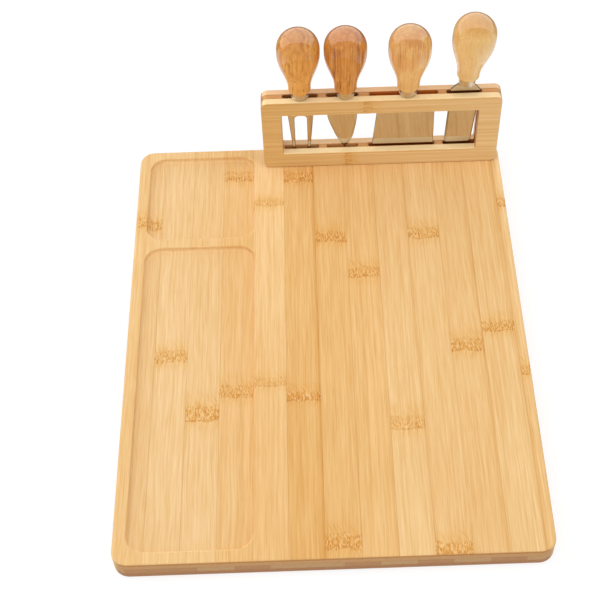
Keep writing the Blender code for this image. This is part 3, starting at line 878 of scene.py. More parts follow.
class GeometryTree(ABC):
    """A Geometry Nodes tree that is built once and run on many objects."""

    name: str
    inputs: tuple[tuple[str, str], ...]

    @abstractmethod
    def build(self, graph: Graph, given: dict[str, Socket]) -> Socket:
        """Add the tree's nodes and give the geometry that it ends in."""

    def tree(self) -> bpy.types.NodeTree:
        """Give the tree, made at the first call, with Realize Instances and Set Material at its end."""
        found = bpy.data.node_groups.get(self.name)
        if found:
            return found
        tree = bpy.data.node_groups.new(self.name, "GeometryNodeTree")
        for label, kind in (("Geometry", "Geometry"), *self.inputs, ("Material", "Material")):
            tree.interface.new_socket(label, in_out="INPUT", socket_type=f"NodeSocket{kind}")
        tree.interface.new_socket("Geometry", in_out="OUTPUT", socket_type="NodeSocketGeometry")
        graph = Graph(tree)
        entry = graph.node("NodeGroupInput")
        given = {socket.name: socket for socket in entry.outputs if socket.name}
        real = graph.node("GeometryNodeRealizeInstances", self.build(graph, given)).outputs[0]
        done = graph.node("GeometryNodeSetMaterial", real, None, given["Material"]).outputs[0]
        graph.node("NodeGroupOutput", done)
        return tree

    def run(self, mesh: Mesh, finish: Finish, **values: object) -> Mesh:
        """Run the tree on a mesh.

        Args:
            mesh: what goes in.
            finish: the finish that the result takes.
            values: what the named inputs take, with underscores for spaces.

        Returns:
            A plain mesh under the same name.
        """
        name = mesh.name
        mesh.name = f"{name}_start"
        work = bench_object(mesh)
        modifier = work.modifiers.new(self.name, "NODES")
        tree = self.tree()
        modifier.node_group = tree
        given = {label.replace("_", " "): value for label, value in values.items()}
        given["Material"] = finish.material()
        for item in tree.interface.items_tree:
            if item.in_out == "INPUT" and item.name in given:
                modifier[item.identifier] = given[item.name]
        return evaluated(work, name)


class SawStaves(GeometryTree):
    """Saws a ply's blank along every glue line."""

    name = "saw_staves"
    inputs = (("Lines", "Int"), ("First Line", "Vector"), ("Pitch", "Float"), ("Blade", "Vector"))

    def build(self, graph: Graph, given: dict[str, Socket]) -> Socket:
        """Stand a thin wall on each glue line and take the walls out of the blank."""
        step = graph.join(given["Pitch"], 0.0, 0.0)
        lines = graph.node("GeometryNodeMeshLine", given["Lines"], None, given["First Line"], step)
        wall = graph.node("GeometryNodeMeshCube", given["Blade"])
        walls = graph.node("GeometryNodeInstanceOnPoints", lines.outputs[0], None, wall.outputs[0])
        solid = graph.node("GeometryNodeRealizeInstances", walls.outputs[0])
        cut = graph.node("GeometryNodeMeshBoolean", given["Geometry"], solid.outputs[0],
                         operation="DIFFERENCE", solver="EXACT")
        return cut.outputs[0]


class Lathe(GeometryTree):
    """Turns a half outline, radius along X and height along Z from top to bottom, once round Z."""

    name = "lathe"
    inputs = (("Steps", "Int"), ("Swing", "Float"))

    def build(self, graph: Graph, given: dict[str, Socket]) -> Socket:
        """Sweep the outline round a circle, then close its seam and its poles."""
        inward = graph.join(graph.times(given["Swing"], -1.0), 0.0, 0.0)
        outline = graph.node("GeometryNodeMeshToCurve", given["Geometry"])
        laid = graph.node("GeometryNodeTransform", outline.outputs[0])
        graph.put(laid.inputs["Translation"], inward)
        graph.put(laid.inputs["Rotation"], (math.pi / 2, 0.0, 0.0))
        circle = graph.node("GeometryNodeCurvePrimitiveCircle", given["Steps"])
        graph.put(circle.inputs["Radius"], given["Swing"])
        swept = graph.node("GeometryNodeCurveToMesh", circle.outputs[0], laid.outputs[0])
        closed = graph.node("GeometryNodeMergeByDistance", swept.outputs[0])
        graph.put(closed.inputs["Distance"], WELD)
        return closed.outputs[0]


class ThreadedPair(GeometryTree):
    """Winds a thread round a screw's shank and sets the screw at two places."""

    name = "threaded_pair"
    inputs = (("First", "Vector"), ("Step", "Vector"), ("Turns", "Float"), ("Thread Radius", "Float"),
              ("Thread Start", "Float"), ("Thread Height", "Float"), ("Thread Depth", "Float"))

    def build(self, graph: Graph, given: dict[str, Socket]) -> Socket:
        """Sweep a three-sided ridge along a spiral, join it to the screw and instance both."""
        spiral = graph.node("GeometryNodeCurveSpiral", 24, given["Turns"], given["Thread Radius"],
                            given["Thread Radius"], given["Thread Height"], False)
        raised = graph.node("GeometryNodeTransform", spiral.outputs[0])
        graph.put(raised.inputs["Translation"], graph.join(0.0, 0.0, given["Thread Start"]))
        ridge = graph.node("GeometryNodeCurvePrimitiveCircle", 3)
        graph.put(ridge.inputs["Radius"], given["Thread Depth"])
        thread = graph.node("GeometryNodeCurveToMesh", raised.outputs[0], ridge.outputs[0])
        graph.put(thread.inputs["Fill Caps"], True)
        whole = graph.node("GeometryNodeJoinGeometry")
        for part in (thread.outputs[0], given["Geometry"]):
            graph.tree.links.new(part, whole.inputs[0])
        places = graph.node("GeometryNodeMeshLine", 2, None, given["First"], given["Step"])
        pair = graph.node("GeometryNodeInstanceOnPoints", places.outputs[0], None, whole.outputs[0])
        return pair.outputs[0]


def turned(name: str, profile: list[Point], finish: Finish, steps: int = 96) -> Mesh:
    """Turn a half outline on the lathe.

    Args:
        name: the mesh's name.
        profile: (radius, height) pairs from top to bottom.
        finish: the piece's finish.
        steps: how many steps a turn has.

    Returns:
        A closed mesh.
    """
    mesh = bpy.data.meshes.new(name)
    edges = [(i, i + 1) for i in range(len(profile) - 1)]
    mesh.from_pydata([(radius, 0.0, height) for radius, height in profile], edges, [])
    return Lathe().run(mesh, finish, Steps=steps, Swing=SWING)


def install(mesh: Mesh, finish: Finish, body: str, slot: str, *nodes: str) -> None:
    """Make a finished mesh a piece of the object.

    Args:
        mesh: the piece's mesh, in place.
        finish: its finish.
        body: the body that it rides on.
        slot: not used.
        nodes: the nodes that it stands for.
    """
    mesh.materials.clear()
    mesh.materials.append(finish.material())
    piece = bench_object(mesh)
    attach(piece, body)
    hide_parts(*nodes)
    LOG.info("%s stands for %s, %d faces", piece.name, ", ".join(nodes), len(mesh.polygons))


@dataclass
class Ply:
    """One layer of the board: its nodes' prefix, its staves' finishes and its slot."""

    prefix: str
    slot: str
    staves: list[BambooFinish]

    @property
    def nodes(self) -> list[str]:
        """The ply's node names, from left to right."""
        return [f"{self.prefix}_{i + 1:02d}" for i in range(len(self.staves))]

    @property
    def lines(self) -> list[float]:
        """The middles of the ply's glue lines, from left to right."""
        boxes = [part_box(node) for node in self.nodes]
        return [(a[1].x + b[0].x) / 2 for a, b in zip(boxes, boxes[1:])]


@dataclass
class Board:
    """Three plies of staves, with two trays routed into the top one."""

    corner: float = 0.010
    edge_round: float = 0.0015
    tray_left: float = 0.0080
    tray_back: float = 0.0072
    tray_front: float = 0.0085
    tray_rib: float = 0.0078
    tray_width: float = 0.0752
    small_tray_length: float = 0.0765
    tray_corner: float = 0.011
    tray_depth: float = 0.0040
    tray_cove: float = 0.0022
    tray_rim: float = 0.0009
    end_margin: float = 0.005
    low: Vector = field(default_factory=lambda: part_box("bottom_stave_02")[0])
    high: Vector = field(default_factory=lambda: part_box("top_stave_05")[1])

    def __post_init__(self) -> None:
        """Take the board's width from its outermost staves."""
        self.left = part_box("top_stave_01")[0].x
        self.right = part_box("top_stave_13")[1].x
        self.front, self.back = self.low.y, self.high.y
        self.top = self.high.z

    def plies(self) -> tuple[Ply, Ply, Ply]:
        """Choose each stave's shade and marks, from left to right."""
        top = [
            (Tone.STRAW, -0.15, 0.0, 0.6, (Knot(0.097),)),
            (Tone.STRAW, 0.0, 0.0, 0.65, (Knot(-0.016),)),
            (Tone.STRAW, 0.2, 0.0, 0.7, (Knot(-0.061, 0.0056, 1.2),)),
            (Tone.GOLD, 0.0, 0.15, 0.85, (Knot(0.141), Knot(-0.045))),
            (Tone.CREAM, -0.5, 0.0, 0.6, (Knot(0.112, 0.0036, 0.8), Knot(-0.041, 0.0034, 0.7))),
            (Tone.GOLD, -1.0, 0.9, 1.25, (Knot(0.135), Knot(-0.0525, 0.0034, 1.1))),
            (Tone.GOLD, -0.45, -0.3, 1.0, (Knot(0.078), Knot(-0.155, 0.0052))),
            (Tone.GOLD, 0.0, 0.3, 1.1, (Knot(0.046),)),
            (Tone.STRAW, 0.3, 0.4, 0.9, (Knot(-0.075, 0.0050, 0.8),)),
            (Tone.STRAW, -0.3, -0.3, 0.8, (Knot(0.079, 0.0050), Knot(-0.162, 0.0044, 1.1))),
            (Tone.HONEY, -0.2, 0.5, 0.85, (Knot(-0.017, 0.0050),)),
            (Tone.STRAW, 0.3, 0.4, 1.1, (Knot(-0.003, 0.0040, 1.1),)),
            (Tone.CREAM, -0.3, -0.6, 1.1, (Knot(0.105, 0.0040), Knot(-0.038, 0.0040))),
        ]
        core = (Tone.FLAX, Tone.DUN, Tone.DUN, Tone.FLAX, Tone.DUN, Tone.FLAX, Tone.FLAX,
                Tone.DUN, Tone.FLAX, Tone.DUN, Tone.FLAX, Tone.DUN, Tone.FLAX)
        seams = tuple(corner.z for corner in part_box("core_stave_05"))
        return (
            Ply("top_stave", "top_ply_bamboo", [
                self.stave("top", i, tone, 1.0, drift=drift, rind=rind, streaks=streaks, knots=knots,
                           end_reach=self.back - self.end_margin, routed_below=self.top - MILLIMETRE,
                           layers=seams[1:])
                for i, (tone, drift, rind, streaks, knots) in enumerate(top)]),
            Ply("core_stave", "core_ply_bamboo", [
                self.stave("core", i, Tone.HONEY, 31.0, ends=tone, layers=seams)
                for i, tone in enumerate(core)]),
            Ply("bottom_stave", "bottom_ply_bamboo", [
                self.stave("bottom", i, (Tone.HONEY, Tone.STRAW, Tone.GOLD)[i % 3], 61.0,
                           knots=(Knot(0.13 - 0.021 * ((i * 5) % 13)),), ends=Tone.CHESTNUT, layers=seams[:1])
                for i in range(len(top))]))

    @staticmethod
    def stave(ply: str, index: int, tone: Tone, first_seed: float, **marks: object) -> BambooFinish:
        """Give one stave's finish.

        Args:
            ply: the ply's name.
            index: which stave of the ply it is, from 0 at the left.
            tone: its shade.
            first_seed: the seed of the ply's first stave.
            marks: the finish's other values.

        Returns:
            The finish.
        """
        number = f"{index + 1:02d}"
        low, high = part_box(f"{ply}_stave_{number}")
        return BambooFinish(f"{ply}_bamboo_{number}", tone, first_seed + index, sides=(low.x, high.x),
                            **marks)

    def blank(self, ply: Ply) -> Mesh:
        """Make a ply's blank, with its seams nearly closed and its outer rim rounded over."""
        low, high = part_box(ply.nodes[4])
        gap = HALF_GLUE - SEAM / 2
        is_top, is_bottom = ply.slot.startswith("top"), ply.slot.startswith("bottom")
        bottom = low.z if is_bottom else low.z - gap
        top = high.z if is_top else high.z + gap
        foot = eased_top(bottom, self.edge_round, -1.0)[::-1] if is_bottom else [(0.0, bottom)]
        head = eased_top(top, self.edge_round) if is_top else [(0.0, top)]
        return Block((self.left, self.front), (self.right, self.back), foot + head,
                     self.corner).mesh(ply.prefix)

    def trays(self) -> list[Mesh]:
        """Make the cutters that rout the two trays."""
        left = self.left + self.tray_left
        rib_back = self.back - self.tray_back - self.small_tray_length
        spans = (("small_tray", rib_back, self.back - self.tray_back),
                 ("long_tray", self.front + self.tray_front, rib_back - self.tray_rib))
        profile = coved_floor(self.top - self.tray_depth, self.tray_cove)
        profile += flared_mouth(self.top, self.tray_rim)
        right = left + self.tray_width
        return [Block((left, front), (right, back), profile, self.tray_corner, steps=18).mesh(name)
                for name, front, back in spans]

    def build(self, holes: "Screws") -> None:
        """Make the three plies and install every stave.

        Args:
            holes: the screws whose clearance holes go through the board.
        """
        for ply in self.plies():
            blank = carved(self.blank(ply), holes.hole_meshes())
            if ply.slot.startswith("top"):
                blank = carved(blank, self.trays())
            lines = ply.lines
            pitch = (lines[-1] - lines[0]) / (len(lines) - 1)
            middle = Vector((lines[0], (self.front + self.back) / 2, self.top / 2))
            blade = Vector((SEAM, self.back - self.front + OVERRUN, self.top + OVERRUN))
            sawn = SawStaves().run(blank, ply.staves[0], Lines=len(lines), First_Line=middle, Pitch=pitch,
                                   Blade=blade)
            for node, finish, left, right in zip(ply.nodes, ply.staves, [self.left - OVERRUN] + lines,
                                                 lines + [self.right + OVERRUN]):
                stave = self.picked(sawn, node, left, right)
                install(smoothed(stave), finish, "board", ply.slot, node)

    @staticmethod
    def picked(sawn: Mesh, name: str, left: float, right: float) -> Mesh:
        """Pick one stave out of a sawn ply.

        Args:
            sawn: the whole ply.
            name: the stave's name.
            left: the glue line on its left.
            right: the glue line on its right.

        Returns:
            The stave's own mesh.
        """
        bm = bmesh.new()
        bm.from_mesh(sawn)
        others = [v for v in bm.verts if not left < v.co.x < right]
        bmesh.ops.delete(bm, geom=others, context="VERTS")
        bmesh.ops.recalc_face_normals(bm, faces=bm.faces)
        return plain_mesh(bm, name)


@dataclass
class Screws:
    """Two countersunk screws that hold the knife holder from below."""

    shank_radius: float = 0.0020
    core_radius: float = 0.00155
    head_radius: float = 0.00375
    head_rim: float = 0.0003
    tip_length: float = 0.003
    seat: float = 0.0003
    thread_pitch: float = 0.0014
    thread_depth: float = 0.00042
    plain_length: float = 0.006
    recess_span: float = 0.0044
    recess_width: float = 0.0009
    recess_depth: float = 0.0016
    finish: SteelFinish = SteelFinish("zinc_plate", srgb(214, 214, 208), 0.8, 0.16)

    def __post_init__(self) -> None:
        """Take the screws' places and their tip from the nodes."""
        boxes = [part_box(f"holder_screw_{side}") for side in ("left", "right")]
        self.places = [(low + high) / 2 for low, high in boxes]
        self.tip = boxes[0][1].z

    def profile(self, clearance: float) -> list[Point]:
        """Give the half outline of a screw, or of its hole, from its tip down."""
        shank = self.shank_radius if clearance else self.core_radius
        floor = -OVERRUN if clearance else self.seat
        rim = self.seat + self.head_rim
        radius, head = shank + clearance, self.head_radius + clearance
        tip = self.tip + clearance
        return [(0.0, tip), (radius, tip - self.tip_length), (radius, rim + head - radius), (head, rim),
                (head, floor), (0.0, floor)]

    def hole_meshes(self) -> list[Mesh]:
        """Make the cutters of the clearance holes."""
        made = []
        for side, place in zip(("left", "right"), self.places):
            mesh = turned(f"screw_hole_{side}", self.profile(self.seat), self.finish, 48)
            mesh.transform(Matrix.Translation((place.x, place.y, 0.0)))
            made.append(mesh)
        return made

    def build(self) -> None:
        """Turn one screw, cut its cross recess, thread it and set it at both places."""
        screw = turned("holder_screws", self.profile(0.0), self.finish, 48)
        arm, half = self.recess_span / 2, self.recess_width / 2
        levels = [(0.0, -OVERRUN), (0.0, self.seat + self.recess_depth)]
        bars = [Block((-u, -v), (u, v), levels).mesh(name)
                for name, u, v in (("recess_x", arm, half), ("recess_y", half, arm))]
        screw = carved(screw, bars)
        first, second = (Vector((place.x, place.y, 0.0)) for place in self.places)
        height = self.tip - self.tip_length - self.plain_length
        pair = ThreadedPair().run(
            screw, self.finish, First=first, Step=second - first, Turns=height / self.thread_pitch,
            Thread_Radius=self.core_radius, Thread_Start=self.plain_length, Thread_Height=height,
            Thread_Depth=self.thread_depth)
        install(smoothed(pair), self.finish, "board", "screw_steel", "holder_screw_left",
                "holder_screw_right")


@dataclass
class Holder:
    """The standing knife holder: two framing plies, a slotted ply between them and its dividers."""

    corner: float = 0.005
    edge_round: float = 0.0007
    window_round: float = 0.0005
    left_stile: float = 0.0139
    right_stile: float = 0.0156
    top_rail: float = 0.0122
    bottom_rail: float = 0.0135
    window_corner: float = 0.001
    blind_depth: float = 0.0080
    first_slot: float = 0.0147
    skin: float = 0.0003
    slots: tuple[float, ...] = (0.0250, 0.0226, 0.0480, 0.0250)
    dividers: tuple[float, ...] = (0.0054, 0.0070, 0.0052)

    def __post_init__(self) -> None:
        """Take the plies' faces and the window's place from the nodes."""
        self.low, self.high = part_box("holder_front_ply")
        self.back_low, self.back_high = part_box("holder_back_ply")
        self.middle_low, self.middle_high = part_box("holder_middle_ply")
        self.gap = (self.middle_low.y - self.high.y) / 2 - SEAM / 2
        self.window_low = (self.low.x + self.left_stile, self.low.z + self.bottom_rail)
        self.window_high = (self.high.x - self.right_stile, self.high.z - self.top_rail)

    def finishes(self) -> dict[str, BambooFinish]:
        """Choose the bamboo of each ply."""
        rail = self.window_low[1]
        spans = self.spans()
        shared = {"grain": Grain.ALONG_HOLDER, "run_share": 0.3, "open_span": spans[2],
                  "lit_corner": (spans[2][0], rail + MILLIMETRE)}
        front = BambooFinish(
            "holder_front_bamboo", Tone.SAND, 91.0, streaks=1.6, drift=-0.9, drift_tone=Tone.SADDLE,
            half_length=0.085, sides=(self.low.z, self.high.z), rind=0.25, rind_width=0.018,
            knots=(Knot(0.034, 0.0032, 0.7, rail, 1.0), Knot(0.0205, 0.0026, 0.9, -1.0, rail)),
            edges=Tone.PALE, hollow=(self.high.y - self.skin, self.high.y), **shared)
        back = BambooFinish(
            "holder_back_bamboo", Tone.SAND, 95.0, knots=(Knot(0.092, 0.0034, 0.6, rail, 1.0),),
            edges=Tone.PEACH, hollow=(self.back_low.y + self.skin, self.back_low.y), **shared)
        middle = BambooFinish("holder_middle_bamboo", Tone.UMBER, 99.0, Grain.ALONG_HOLDER,
                              ends=Tone.CHESTNUT)
        return {"front": front, "back": back, "middle": middle}

    def spans(self) -> list[Point]:
        """Give each slot's left and right end."""
        made, left = [], self.low.x + self.first_slot
        for length, gap in zip(self.slots, (*self.dividers, 0.0)):
            made.append((left, left + length))
            left += length + gap
        return made

    def framing_ply(self, name: str, front: float, back: float, way: float,
                    holes: Screws) -> Mesh:
        """Make the front or the back ply.

        Args:
            name: the ply's name.
            front: its front face.
            back: its back face.
            way: 1 if its outer face is the back one, -1 if it is the front one.
            holes: the screws whose clearance holes go in.

        Returns:
            The ply's mesh.
        """
        outer, inner = (back, front - self.gap) if way > 0 else (front, back + self.gap)
        wall = [(0.0, inner)] + eased_top(outer, self.edge_round, way)
        blank = Block((self.low.x, self.low.z), (self.high.x, self.high.z), wall, self.corner, 1).mesh(name)
        mouth = [(0.0, inner - way * OVERRUN)] + flared_mouth(outer, self.window_round, way)
        window = Block(self.window_low, self.window_high, mouth, self.window_corner, 1, 6).mesh("window")
        return carved(blank, [window, *holes.hole_meshes()])

    def slotted_ply(self, name: str, holes: Screws) -> Mesh:
        """Make the middle ply with its window, its blind slots and the gap for the dividers."""
        walls = [(0.0, self.middle_low.y), (0.0, self.middle_high.y)]
        blank = Block((self.low.x, self.low.z), (self.high.x, self.high.z), walls, self.corner, 1).mesh(name)
        through = [(0.0, self.middle_low.y - OVERRUN), (0.0, self.middle_high.y + OVERRUN)]
        window = Block(self.window_low, self.window_high, through, self.window_corner, 1, 6).mesh("window")
        middles = [(left + right) / 2 for left, right in self.spans()]
        half_way = (self.window_low[1] + self.window_high[1]) / 2
        gap = Block((middles[0], half_way), (middles[-1], self.high.z + OVERRUN), through, axis=1).mesh("gap")
        return carved(blank, [window, gap, *self.slot_cutters(), *holes.hole_meshes()])

    def slot_cutters(self) -> list[Mesh]:
        """Make the cutters of the round-ended slots, from their blind floors up through the top."""
        low_y = self.high.y
        high_y = self.back_low.y
        floor = self.window_low[1] - self.blind_depth
        corner = (high_y - low_y) / 2
        return [Block((left, low_y), (right, high_y), [(0.0, floor), (0.0, self.high.z + OVERRUN)], corner,
                      steps=10).mesh(f"slot_{i + 1}")
                for i, (left, right) in enumerate(self.spans())]

    def divider(self, name: str, left: float, right: float) -> Mesh:
        """Make one divider between two slots' middles, before the slots are cut."""
        walls = [(0.0, self.middle_low.y), (0.0, self.middle_high.y)]
        return Block((left, self.window_high[1]), (right, self.high.z), walls, axis=1).mesh(name)

    def build(self, holes: Screws) -> None:
        """Make and install the holder's plies and dividers.

        Args:
            holes: the screws whose clearance holes go into the stiles.
        """
        finishes = self.finishes()
        plies = (("front", self.framing_ply("holder_front_ply", self.low.y, self.high.y, -1.0, holes), ""),
                 ("back", self.framing_ply("holder_back_ply", self.back_low.y, self.back_high.y, 1.0, holes),
                  ""),
                 ("middle", self.slotted_ply("holder_middle_ply", holes), "core_"))
        for name, mesh, core in plies:
            install(smoothed(mesh), finishes[name], "board", f"holder_{core}bamboo", f"holder_{name}_ply")
        middles = [(left + right) / 2 for left, right in self.spans()]
        for i in range(len(self.dividers)):
            name = f"holder_divider_{i + 1}"
            cutters = self.slot_cutters()[i:i + 2]
            mesh = carved(self.divider(name, middles[i], middles[i + 1]), cutters)
            install(smoothed(mesh), finishes["middle"], "board", "holder_core_bamboo", name)


def arc(centre: Point, radius: float, start: float, end: float, steps: int) -> list[Point]:
    """Give points on an arc between two angles in quarter turns, both ends included."""
    angles = [math.pi / 2 * (start + (end - start) * i / steps) for i in range(steps + 1)]
    return [(centre[0] + radius * math.cos(a), centre[1] + radius * math.sin(a)) for a in angles]


def curve_through(points: list[Point], steps: int = 6) -> list[Point]:
    """Give a smooth curve through given points, without the first one.

    Args:
        points: the points, first and last included.
        steps: how many steps each stretch has.

    Returns:
        The curve's points.
    """
    made = []
    padded = [points[0], *points, points[-1]]
    for before, start, end, after in zip(padded, padded[1:], padded[2:], padded[3:]):
        for i in range(1, steps + 1):
            t = i / steps
            made.append(tuple(
                0.5 * (2 * b + (c - a) * t + (2 * a - 5 * b + 4 * c - d) * t ** 2
                       + (3 * b - a - 3 * c + d) * t ** 3)
                for a, b, c, d in zip(before, start, end, after)))
    return made


@dataclass
class Blade(ABC):
    """A flat blade with its tang, in the knife's own frame: Z is 0 at the ferrule's underside."""

    thickness: float = 0.0015
    tang_width: float = 0.0044
    tang_length: float = 0.0260
    neck_width: float = 0.0100
    seat: float = 0.0003
    shoulder_drop: float = 0.0110
    shoulder_bend: float = 1.0
    chamfer: float = 0.00032
    grind: float = 0.0022
    edge: float = 0.0003
    left: float = 0.0095
    right: float = 0.0095
    length: float = 0.0550
    shoulder_steps: int = 10

    @abstractmethod
    def half(self, side: int) -> list[Point]:
        """Give one side's points below the shoulder, from top to bottom."""

    def half_width(self, side: int) -> float:
        """Give how far the blade reaches on one side, 1 for the right and -1 for the left."""
        return self.right if side > 0 else self.left

    def middle(self) -> list[Point]:
        """Give the points between the two sides' ends."""
        return []

    def ground(self, x: float, z: float) -> float:
        """Tell how far a point of the edge is ground thin, 0 to 1."""
        return 0.0

    def shoulder(self, side: int) -> list[Point]:
        """Give one side from the tang's end to the foot of an S-shaped shoulder."""
        tang, neck = self.tang_width / 2, self.neck_width / 2
        made = [(side * tang, self.tang_length), (side * tang, -self.seat), (side * neck, -self.seat)]
        for i in range(1, self.shoulder_steps + 1):
            share = i / self.shoulder_steps
            swell = share + ((1 - math.cos(math.pi * share)) / 2 - share) * self.shoulder_bend
            reach = neck + (self.half_width(side) - neck) * swell
            made.append((side * reach, -self.seat - self.shoulder_drop * share))
        return made

    def outline(self) -> list[Point]:
        """Give the whole outline, down the right side and up the left."""
        right = self.shoulder(1) + self.half(1)
        left = self.shoulder(-1) + self.half(-1)
        return right + self.middle() + left[::-1]

    def mesh(self, name: str) -> Mesh:
        """Make the blade with chamfered edges that run thin where it is ground.

        Args:
            name: the mesh's name.

        Returns:
            A closed mesh in the knife's own frame.
        """
        outline = self.outline()
        bm = bmesh.new()
        rim = bm.verts.layers.float.new(RIM)
        rings: list[list[bmesh.types.BMVert]] = [[], [], [], []]
        for i, (x, z) in enumerate(outline):
            before, after = Vector(outline[i - 1]), Vector(outline[(i + 1) % len(outline)])
            here = Vector((x, z))
            run_in, run_out = (here - before).normalized(), (after - here).normalized()
            run = (run_in + run_out).normalized()
            inward = Vector((run.y, -run.x))
            stretch = 1 / max(0.5, abs(run.dot(run_out)))
            share = self.ground(x, z)
            inset = (self.chamfer + (self.grind - self.chamfer) * share) * stretch
            flank = self.thickness / 2 - self.chamfer
            side = flank + (self.edge / 2 - flank) * share
            inner = here + inward * inset
            levels = ((inner, -self.thickness / 2), (here, -side), (here, side), (inner, self.thickness / 2))
            for ring, (point, y) in zip(rings, levels):
                ring.append(bm.verts.new((point.x, y, point.y)))
            for ring in rings[1:3]:
                ring[-1][rim] = 1.0 - 0.8 * share
        loft(bm, rings)
        bmesh.ops.triangulate(bm, faces=[f for f in bm.faces if len(f.verts) > 4])
        return plain_mesh(bm, name)


@dataclass
class ForkBlade(Blade):
    """Two tapering tines with a flat-topped arch between them."""

    tine_gap: float = 0.0088
    tip: float = 0.0016
    arch_drop: float = 0.0190
    arch_round: float = 0.0032

    def half(self, side: int) -> list[Point]:
        """A straight taper, then a small rounded point."""
        gap = self.tine_gap / 2
        return [(side * (gap + self.tip), -self.length + self.tip),
                (side * (gap + self.tip * 0.9), -self.length + self.tip * 0.35),
                (side * (gap + self.tip / 2), -self.length),
                (side * (gap + self.tip * 0.1), -self.length + self.tip * 0.35),
                (side * gap, -self.length + self.tip)]

    def middle(self) -> list[Point]:
        """The arch's two rounded corners, from right to left."""
        corner = self.tine_gap / 2 - self.arch_round
        level = -self.arch_drop - self.arch_round
        return (arc((corner, level), self.arch_round, 0, 1, 8)
                + arc((-corner, level), self.arch_round, 1, 2, 8))


@dataclass
class SpadeBlade(Blade):
    """A pointed blade, straighter on its left edge and fuller on its right, ground round its point."""

    left: float = 0.0130
    right: float = 0.0080
    length: float = 0.0510
    tip_shift: float = -0.0007
    grind_start: float = 0.45
    grind_run: float = 0.2
    left_shares: tuple[Point, ...] = ((1.00, 0.30), (0.95, 0.43), (0.76, 0.60), (0.47, 0.81))
    right_shares: tuple[Point, ...] = ((1.00, 0.30), (0.98, 0.43), (0.84, 0.61), (0.55, 0.82))

    def half(self, side: int) -> list[Point]:
        """A full curve down to the point."""
        shares = self.right_shares if side > 0 else self.left_shares
        reach = self.half_width(side)
        top = (side * reach, -self.seat - self.shoulder_drop)
        end = (self.tip_shift, -self.length)
        points = [(side * reach * x, -self.length * z) for x, z in shares]
        curve = curve_through([top, *points, end])
        return curve if side > 0 else curve[:-1]

    def ground(self, x: float, z: float) -> float:
        """Ground from about half way down to the point."""
        share = (-z / self.length - self.grind_start) / self.grind_run
        return min(1.0, max(0.0, share))


@dataclass
class CleaverBlade(Blade):
    """A wide blade that flares to its edge and reaches further to the left."""

    left: float = 0.0206
    right: float = 0.0190
    left_flare: float = 0.0040
    right_flare: float = 0.0006
    tip_round: float = 0.0015

    def half(self, side: int) -> list[Point]:
        """A straight flare with a small rounded end."""
        flare = self.right_flare if side > 0 else self.left_flare
        centre = (self.half_width(side) + flare - self.tip_round, -self.length + self.tip_round)
        points = arc(centre, self.tip_round, 0, -1, 6)
        return [(side * x, z) for x, z in points]

    def ground(self, x: float, z: float) -> float:
        """Ground along its lower edge."""
        return 1.0 if z < -self.length + self.tip_round / 2 else 0.0


@dataclass
class ChiselBlade(Blade):
    """A straight blade with sloping shoulders, slightly narrower at its edge."""

    left: float = 0.01025
    right: float = 0.01025
    tip_width: float = 0.0188
    shoulder_drop: float = 0.0060
    shoulder_bend: float = 0.0
    length: float = 0.0653

    def half(self, side: int) -> list[Point]:
        """A straight side down to a square corner."""
        return [(side * self.tip_width / 2, -self.length)]

    def ground(self, x: float, z: float) -> float:
        """Ground along its lower edge."""
        return 1.0 if z < -self.length + self.edge else 0.0


